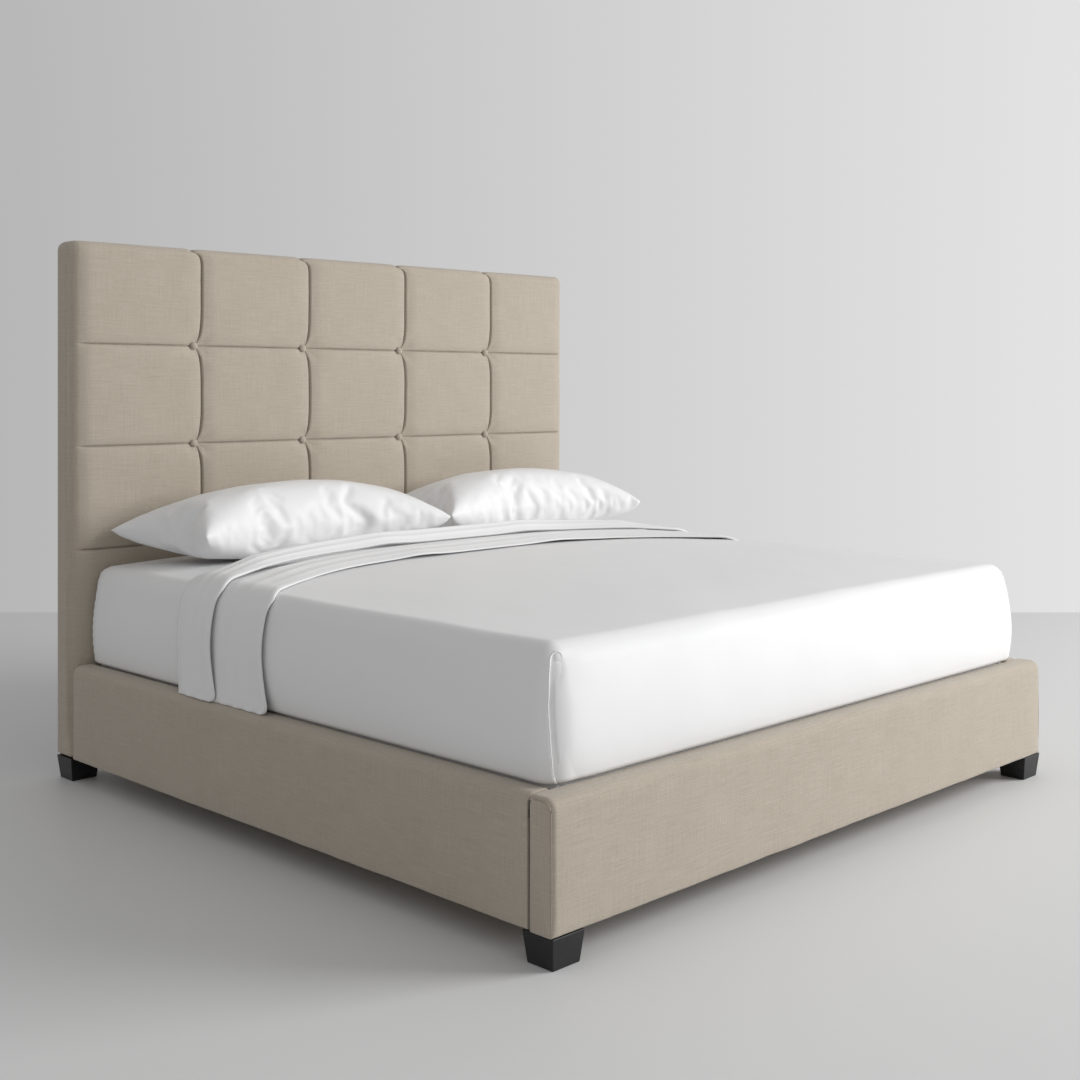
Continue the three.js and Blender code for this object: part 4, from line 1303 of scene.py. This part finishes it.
def corner_fold(sign, offset, bulge, surface):
    """The rolled edge of the tucked corner, laid on the sheet: up from the rail, then arched
    over at the top."""
    low = np.array([MATTRESS_LOW[0] - offset, MATTRESS_LOW[1] - offset])
    top = MATTRESS_HIGH[2] + offset
    z = np.concatenate([
        np.linspace(RAIL_TOP + 0.017, top - 0.041, 30),
        top - np.array([0.031, 0.022, 0.0155, 0.0115, 0.010, 0.0115, 0.0165, 0.024, 0.033])])
    way = np.concatenate([
        fold_line(z[:30]), [0.0, 0.002, 0.006, 0.012, 0.018, 0.024, 0.029, 0.031, 0.030]])
    out = 0.037 * (1 - math.sqrt(0.5)) - bulge * 1.10 * swelling(z, top) / math.sqrt(2)
    path = np.stack([out + way / math.sqrt(2), out - way / math.sqrt(2), z], 1)
    run = np.concatenate([[0], np.cumsum(np.linalg.norm(np.diff(path, axis=0), axis=1))])
    fine = np.linspace(0, run[-1], 110)
    smooth = np.stack([np.interp(fine, run, path[:, i]) for i in range(3)], 1)
    for _ in range(6):
        smooth[1:-1] = (smooth[:-2] + 2 * smooth[1:-1] + smooth[2:]) / 4
    placed = np.stack([
        sign * (-low[0] - smooth[:, 0]), low[1] + smooth[:, 1], smooth[:, 2]], 1)
    count = len(placed)
    taper = np.clip(np.minimum(np.arange(count), count - 1 - np.arange(count)) / 14, 0, 1) ** 0.7
    for k, place in enumerate(placed):
        found, direction, _, _ = surface.find_nearest(place)
        placed[k] = np.array(found) + np.array(direction) * (0.0012 * taper[k] - 0.0010)
    for _ in range(3):
        placed[1:-1] = (placed[:-2] + 2 * placed[1:-1] + placed[2:]) / 4
    if sign > 0:
        placed = placed[::-1]
        taper = taper[::-1]
    points, faces = tube(placed, 0.0023, 10)
    centre = np.repeat(placed, 10, axis=0)
    return centre + (points - centre) * np.repeat(0.3 + 0.7 * taper, 10)[:, None], faces


class BED_OT_top_sheet(bpy.types.Operator):
    """Lays the top sheet, tucked in at the foot and folded back twice at the head."""

    bl_idname = "bed.top_sheet"
    bl_label = "Top sheet"

    def execute(self, context):
        s = context.scene.bed_bedding
        low, high = MATTRESS_LOW, MATTRESS_HIGH
        back = s.upper_edge + 0.16
        offset, top = 0.0042, high[2] + 0.0042
        points, faces, normal = bed_block(
            offset, RAIL_TOP - TOP_TUCK, top, back, s.bulge, s.crown, 0.037, 0.050,
            sides_only=True)
        edge = np.array([low[0] - offset, low[1] - offset])
        for side in ("left", "right"):
            points = mitre(points, normal, edge, side)
        calm = np.clip((points[:, 2] - RAIL_TOP) / 0.04, 0, 1)
        points += normal * ((ripple(points, 0.75, 0.0016, 61) + ripple(points, 0.28, 0.0005, 62))
                            * calm)[:, None]
        skin = BVHTree.FromPolygons([tuple(p) for p in points], [tuple(f) for f in faces])
        folds = merged([corner_fold(sign, offset, s.bulge, skin) for sign in (-1.0, 1.0)])
        piece = new_piece("top_sheet_cotton", points, faces, "mattress_set", "cotton", sateen())
        wall(piece, 0.0009)
        fold = new_piece("tucked_corner_folds", *folds, "mattress_set", "cotton", sateen())
        lower = folded_band("turned_back_lower", s, s.lower_edge, s.upper_edge + 0.09,
                            0.0055, 0.27, 0.014, 0.0, 71)
        upper = folded_band("turned_back_upper", s, s.upper_edge, s.back_edge, 0.0155,
                            0.20, 0.032, 0.012, 81)
        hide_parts("top_sheet")
        for band in (lower, upper):
            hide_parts("top_sheet")
        return {"FINISHED"}


def across_bed(bulge, crown, offset, steps):
    """The section across the bed that a turned-back layer follows: down from one rail's
    top, over the bed and down to the other. Gives (x, z), directions and distances."""
    half, top, radius = MATTRESS_HIGH[0] + offset, MATTRESS_HIGH[2] + offset, 0.050
    z = np.linspace(RAIL_TOP + 0.001, top - radius, 24)
    swell = half + bulge * swelling(z, top)
    widest = swell.argmax()
    swell[:widest] = swell[widest] + 0.004 * (1 - np.arange(widest) / widest)
    side = np.stack([-swell, z], 1)
    turn = np.radians(np.linspace(0, 90, 18))[1:]
    corner_z = top - radius + radius * np.sin(turn)
    upright = np.clip(1.6 * np.cos(turn), 0, 1)
    corner_x = half - radius + radius * np.cos(turn) + bulge * swelling(corner_z, top) * upright
    domed = crown * (1 - (corner_x / half).clip(0, 1) ** 2.4) * np.sin(turn)
    corner = np.stack([-corner_x, corner_z + domed], 1)
    middle = np.linspace(corner[-1, 0], 0, 30)[1:]
    level = top + crown * (1 - (-middle / half) ** 2.4)
    left = np.concatenate([side, corner, np.stack([middle, level], 1)])
    right = (left * [-1, 1])[::-1][1:]
    whole = np.concatenate([left, right])
    run = np.concatenate([[0], np.cumsum(np.linalg.norm(np.diff(whole, axis=0), axis=1))])
    even = np.linspace(0, 1, steps)
    at = run[-1] * (even - 0.7 * np.sin(2 * math.pi * even) / (2 * math.pi))
    section = np.stack([np.interp(at, run, whole[:, i]) for i in (0, 1)], 1)
    way = np.gradient(section, axis=0)
    way /= np.linalg.norm(way, axis=1, keepdims=True)
    return section, np.stack([-way[:, 1], way[:, 0]], 1), at, run[-1]


def folded_band(name, s, front, back, base, arch, crest, lift, seed):
    """One layer of the turned-back sheet: its front edge is a rounded fold, and its sides
    hang to the rails."""
    section, out, at, total = across_bed(s.bulge, s.crown, 0.004, 200)
    side_run = 0.29  # from a hem at the rail up to the bed's top
    reach = np.minimum(at, total - at)
    inward = np.clip((reach - side_run) / 0.62, 0, 1)
    on_top = np.clip((reach - side_run) / 0.20, 0, 1)
    on_side = np.clip(reach / side_run, 0, 1)
    share = at / total
    slide = 0.048 * (1 - (1 - on_side) ** 2) + arch * (1 - (1 - inward) ** 2.2)
    slide += 0.030 * np.sin(2 * math.pi * (share - 0.30)) * on_top
    front_y = front + slide + 0.005 * np.sin(at * 3.1 + seed) * on_top
    front_y += 0.030 * quarter(1 - reach / 0.030)
    lens = 0.006 * np.exp(-(((share - 0.40) / 0.035) ** 2)) + 0.005 * np.exp(
        -(((share - 0.64) / 0.04) ** 2))
    back_y = back + 0.6 * slide + 0.008 * np.sin(at * 2.3 + seed)
    back_y = np.maximum(back_y, front_y + 0.10)
    along = np.concatenate([
        [0.0, 0.003, 0.007, 0.013, 0.02, 0.029, 0.04], np.linspace(0.055, 1, 30)])
    rings = []
    for k in range(len(at)):
        width = back_y[k] - front_y[k]
        inwards = along * width
        hang = 1 - on_side[k]
        beside = math.sin(math.pi * on_side[k]) * (on_top[k] == 0)
        rise = 0.0014 * np.exp(-(((inwards - 0.012) / 0.012) ** 2)) * (1 - on_top[k])
        for ridge, wide, high in ((0.20, 0.045, 0.0030), (0.42, 0.05, 0.0045), (0.68, 0.06, 0.0050)):
            centre = ridge + 0.10 * (share[k] - 0.5)
            rise += high * np.exp(-(((along - centre) / wide) ** 2)) * (0.25 + 0.75 * on_top[k])
        drape = (1 - on_top[k]) * (0.35 + 0.65 * hang)
        rise += 0.0024 * drape * np.sin(inwards * 52 + seed + 2.0 * on_side[k]) ** 2
        hump = crest * (0.35 + 0.65 * inward[k]) * on_top[k] * np.sin(math.pi * along ** 1.15) ** 1.2
        settle = base * np.clip(1.12 - along * 0.45, 0.3, 1) + hump
        settle = settle + on_top[k] * lift * np.sqrt(1 - along)
        settle = settle + lens[k] * np.exp(-((inwards / 0.06) ** 2))
        thin = np.clip((width - inwards) / 0.03, 0.3, 1)
        blunt = 1 - 0.55 * on_top[k]
        nose = blunt * s.fold_thick / 2
        entry = np.clip(inwards / 0.030, 0, 1)
        thin = thin * (blunt + (1 - blunt) * np.sqrt(1 - (1 - entry) ** 2))
        upper = settle + s.fold_thick * thin + rise
        turn = np.radians(np.linspace(90, 270, 9))[1:-1]
        tip = settle[0] + nose
        nose_y = front_y[k] + nose * np.cos(turn) * 1.3
        nose_h = tip + nose * np.sin(turn)
        lower = np.maximum(settle * 0.9, 0.0012)
        ys = np.concatenate([front_y[k] + inwards[::-1], nose_y, front_y[k] + inwards])
        hs = np.concatenate([upper[::-1], nose_h, lower])
        flare = 0.007 * beside * np.exp(-(((ys - front_y[k]) / 0.035) ** 2))
        hs = hs + flare + 0.003 * hang ** 2
        point = section[k][None] + out[k][None] * hs[:, None]
        rings.append(np.stack([point[:, 0], ys, point[:, 1]], 1))
    rings = np.array(rings)
    ends = []
    for ring in (rings[0], rings[-1]):
        hem = ring.copy()
        hem[:, 0] = ring[:, 0].mean() + (ring[:, 0] - ring[:, 0].mean()) * 0.5
        hem[:, 2] -= 0.0012
        ends.append(hem)
    rings = np.concatenate([ends[0][None], rings, ends[1][None]])
    points, faces = swept(rings[::-1])
    points[:, 2] = np.maximum(points[:, 2], RAIL_TOP + 0.0008)
    band = new_piece(name, points, faces, "mattress_set", "cotton", sateen())
    width = float(np.mean(back_y - front_y))
    return band


# ---------- pillows ----------

# seed, side it is mirrored to, middle, half its width, and how far its outer back ear
# reaches out and it is turned
PILLOWS = {
    "left": (91, 1, -0.398, 0.488, 0.072, 0.006),
    "right": (97, -1, 0.566, 0.462, 0.025, -0.034),
}
SEAM_RISE = 0.110  # of a pillow's seam above the bed
TOP_RISE = 0.134  # of its top above the seam
HALF_DEPTH = 0.212


def flat_case(width, depth, seed):
    """Two layers of cloth joined at their edges, before filling."""
    columns, rows = 76, 40
    u, v = np.meshgrid(np.linspace(-1, 1, columns + 1), np.linspace(-1, 1, rows + 1), indexing="ij")
    bow_x = 1 - 0.02 * (1 - v ** 2)
    bow_y = 1 - 0.035 * (1 - u ** 2)
    x, y = u * width / 2 * bow_x, v * depth / 2 * bow_y
    rim = (np.abs(u) > 0.999) | (np.abs(v) > 0.999)
    plump = 0.012 * (1 - u ** 6) * (1 - v ** 6)
    flat = np.stack([x, y, np.zeros_like(x)], -1)
    wobble = ripple(flat.reshape(-1, 3), 0.09, 0.0012, seed).reshape(x.shape)
    top = np.stack([x, y, plump + wobble * ~rim], -1).reshape(-1, 3)
    under = np.stack([x, y, -plump - wobble * ~rim], -1).reshape(-1, 3)
    index = np.arange(x.size).reshape(x.shape)
    below = index + x.size
    below[rim] = index[rim]

    def quads(grid):
        return np.stack([grid[:-1, :-1], grid[1:, :-1], grid[1:, 1:], grid[:-1, 1:]], -1)

    faces = np.concatenate([quads(index).reshape(-1, 4), quads(below).reshape(-1, 4)[:, ::-1]])
    points = np.concatenate([top, under])
    used, faces = np.unique(faces, return_inverse=True)
    return points[used], faces.reshape(-1, 4)


def filled_case(points, faces, s):
    """The case blown up as cloth."""
    mesh = bpy.data.meshes.new("case")
    mesh.from_pydata(points.tolist(), [], faces.tolist())
    case = bpy.data.objects.new("case", mesh)
    scene = bpy.context.scene
    scene.collection.objects.link(case)
    cloth = case.modifiers.new("Cloth", "CLOTH")
    settings = cloth.settings
    settings.quality = 8
    settings.mass = 0.25
    settings.tension_stiffness = settings.compression_stiffness = 18
    settings.shear_stiffness = 8
    settings.bending_stiffness = 0.35
    settings.air_damping = 4
    settings.use_pressure = True
    settings.uniform_pressure_force = s.pressure
    settings.effector_weights.gravity = 0
    cloth.collision_settings.use_collision = False
    cloth.point_cache.frame_start = 1
    cloth.point_cache.frame_end = s.frames
    for step in range(1, s.frames + 1):
        scene.frame_set(step)
    evaluated = case.evaluated_get(bpy.context.evaluated_depsgraph_get())
    result = np.zeros(len(points) * 3, np.float32)
    evaluated.data.vertices.foreach_get("co", result)
    bpy.data.objects.remove(case)
    scene.frame_set(1)
    return result.reshape(-1, 3).astype(float)


class BED_OT_pillows(bpy.types.Operator):
    """Fills two pillows and sets them against the headboard."""

    bl_idname = "bed.pillows"
    bl_label = "Pillows"

    def execute(self, context):
        s = context.scene.bed_pillows
        for side, (seed, mirror, centre_x, half, ear, turn) in PILLOWS.items():
            low, high = (np.array(c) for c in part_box(f"pillow_{side}"))
            points, faces = flat_case(s.cut_width, s.cut_depth, seed)
            points = filled_case(points, faces, s)
            if mirror < 0:
                points, faces = points * [-1, 1, 1], faces[:, ::-1]
            middle = (low + high) / 2
            extent = np.abs(points).max(0)
            x, y, z = (points / extent).T
            seam = low[2] + SEAM_RISE
            lift = np.where(z > 0, z * TOP_RISE, -np.abs(z) ** 0.7 * SEAM_RISE)
            bed = low[2] + 0.0012 - seam
            soft = 0.012
            lift = bed + soft * np.logaddexp(0, (lift - bed) / soft) - soft * math.log(2) * 0.2
            lift = np.maximum(lift, bed)
            lean = 0.010 * (y + 0.2) * (1 - x ** 4)
            outer_back = np.clip(-mirror * x, 0, 1) ** 3 * (0.5 + 0.5 * y)
            outer_front = np.clip(-mirror * x, 0, 1) ** 3 * (0.5 - 0.5 * y)
            placed = np.stack([
                centre_x + x * half - mirror * (ear * outer_back - 0.035 * outer_front),
                middle[1] + y * HALF_DEPTH + turn * x,
                seam + lift + np.maximum(lean, 0)], 1)
            hem = np.exp(-(((1 - np.abs(y)) / 0.34) ** 2)) * (1 - x ** 8)
            squeezed = placed * [1, 0.22, 0.3]
            pleats = ripple(squeezed, 0.022, 0.0042, seed) + ripple(squeezed, 0.05, 0.0034, seed + 1)
            placed[:, 1] += pleats * hem * np.sign(-y) * 0.8
            placed[:, 2] += pleats * hem * np.clip(np.abs(z) * 5, 0, 1) * np.sign(z) * 0.8
            placed[:, 1] = np.minimum(placed[:, 1], HEADBOARD_FRONT - 0.002)
            piece = new_piece(f"pillow_cotton_{side}", placed, faces, f"pillow_{side}", "cotton",
                              percale())
            smooth = piece.modifiers.new("Smooth", "SUBSURF")
            smooth.levels = smooth.render_levels = 1
            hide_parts(f"pillow_{side}")
        return {"FINISHED"}


# ---------- stage ----------

CAMERA_PLACE = (-3.087, -3.272, 1.203)
CAMERA_YAW = 47.2  # degrees from the bed's length
CAMERA_LENS = 48.25
CAMERA_SHIFT = (-0.0972, -0.1413)
FLOOR_NEAR, FLOOR_FAR, FLOOR_HALF_WIDTH = -14, 3.25, 14


def soft_light(name, size, power, place, target):
    """A rectangular light that looks at its target."""
    light = bpy.data.lights.new(name, "AREA")
    light.shape = "RECTANGLE"
    light.size, light.size_y = size
    light.energy = power
    lamp = bpy.data.objects.new(name, light)
    lamp.location = place
    way = np.array(place) - np.array(target)
    lamp.rotation_euler = (math.acos(way[2] / np.linalg.norm(way)), 0,
                           math.atan2(way[1], way[0]) + math.pi / 2)
    bpy.context.scene.collection.objects.link(lamp)


class BED_OT_stage(bpy.types.Operator):
    """Sets up the floor, the soft lights, a backdrop with painted light brighter to the right, and
    the camera.
    """

    bl_idname = "bed.stage"
    bl_label = "Stage"

    def execute(self, context):
        s = context.scene.bed_stage
        scene = context.scene
        yaw = math.radians(CAMERA_YAW)
        ahead = np.array([math.sin(yaw), math.cos(yaw), 0])
        across = np.array([math.cos(yaw), -math.sin(yaw), 0])
        corners = [ahead * a + across * b for a, b in (
            (FLOOR_NEAR, -FLOOR_HALF_WIDTH), (FLOOR_NEAR, FLOOR_HALF_WIDTH),
            (FLOOR_FAR, FLOOR_HALF_WIDTH), (FLOOR_FAR, -FLOOR_HALF_WIDTH))]
        mesh = bpy.data.meshes.new("floor")
        mesh.from_pydata([list(c) for c in corners], [], [(0, 1, 2, 3)])
        floor = bpy.data.objects.new("floor", mesh)
        scene.collection.objects.link(floor)
        material = bpy.data.materials.new("Pale floor")
        material.use_nodes = True
        tree = material.node_tree
        shader = tree.nodes["Principled BSDF"]
        cloud = noise(tree, add(tree, "ShaderNodeTexCoord").outputs["Object"], (1.5, 1.5, 1.5))
        tone = blended(tree, remap(tree, cloud, 0.3, 0.7, 0, 0.06), rgb(s.floor),
                       (0.72, 0.72, 0.72, 1))
        tree.links.new(tone, shader.inputs["Base Color"])
        shader.inputs["Roughness"].default_value = 0.5
        shader.inputs["Specular IOR Level"].default_value = 0.3
        mesh.materials.append(material)
        world = bpy.data.worlds.new("Studio")
        world.use_nodes = True
        nodes = world.node_tree
        ambient = nodes.nodes["Background"]
        ambient.inputs["Color"].default_value = rgb(s.sky)
        ambient.inputs["Strength"].default_value = s.ambient
        # Painted light: the backdrop that only the camera sees is brighter to the right, as if lit
        # by the key light, and it lights nothing.
        direction = add(nodes, "ShaderNodeTexCoord").outputs["Generated"]
        sideways = add(nodes, "ShaderNodeVectorMath", {0: direction, 1: tuple(across)},
                       operation="DOT_PRODUCT").outputs["Value"]
        painted_backdrop_light = remap(nodes, sideways, -0.41, 0.29, 0.47, 0.77)
        backdrop = add(nodes, "ShaderNodeBackground", {"Color": rgb(s.sky), "Strength": painted_backdrop_light})
        seen = add(nodes, "ShaderNodeLightPath").outputs["Is Camera Ray"]
        mixed = add(nodes, "ShaderNodeMixShader", {
            0: seen, 1: ambient.outputs[0], 2: backdrop.outputs[0]})
        nodes.links.new(mixed.outputs[0], nodes.nodes["World Output"].inputs["Surface"])
        scene.world = world
        scene.view_settings.view_transform = "Standard"
        soft_light("key", (4.8, 4.4), s.key, (5.7, -6.15, 3.8), (0, 0, 0.5))
        camera = bpy.data.objects.new("camera", bpy.data.cameras.new("camera"))
        camera.location = CAMERA_PLACE
        camera.rotation_euler = (math.pi / 2, 0, -yaw)
        camera.data.lens = CAMERA_LENS
        camera.data.shift_x, camera.data.shift_y = CAMERA_SHIFT
        scene.collection.objects.link(camera)
        scene.camera = camera
        return {"FINISHED"}


OPERATORS = (
    BED_OT_headboard, BED_OT_buttons, BED_OT_headboard_back, BED_OT_rails, BED_OT_feet,
    BED_OT_woodwork, BED_OT_fittings, BED_OT_mattress, BED_OT_fitted_sheet, BED_OT_top_sheet,
    BED_OT_pillows, BED_OT_stage,
)


class BED_PT_bed(bpy.types.Panel):
    """Lists the bed's sizes, colours and building steps."""

    bl_idname = "BED_PT_bed"
    bl_label = "Upholstered bed"
    bl_space_type = "VIEW_3D"
    bl_region_type = "UI"
    bl_category = "Bed"

    def draw(self, context):
        for label, kind in SETTINGS.items():
            group = getattr(context.scene, label)
            box = self.layout.box()
            for key in kind.__annotations__:
                box.prop(group, key)
        for operator in OPERATORS:
            self.layout.operator(operator.bl_idname)


def register():
    for kind in (*SETTINGS.values(), *OPERATORS, BED_PT_bed):
        bpy.utils.register_class(kind)
    for label, kind in SETTINGS.items():
        setattr(bpy.types.Scene, label, PointerProperty(type=kind))


def unregister():
    for label in SETTINGS:
        delattr(bpy.types.Scene, label)
    for kind in reversed((*SETTINGS.values(), *OPERATORS, BED_PT_bed)):
        bpy.utils.unregister_class(kind)


def main():
    """Builds every piece in order."""
    register()
    for operator in OPERATORS:
        name = operator.bl_idname.split(".")[1]
        getattr(bpy.ops.bed, name)()
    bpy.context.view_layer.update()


if __name__ == "__main__":
    main()
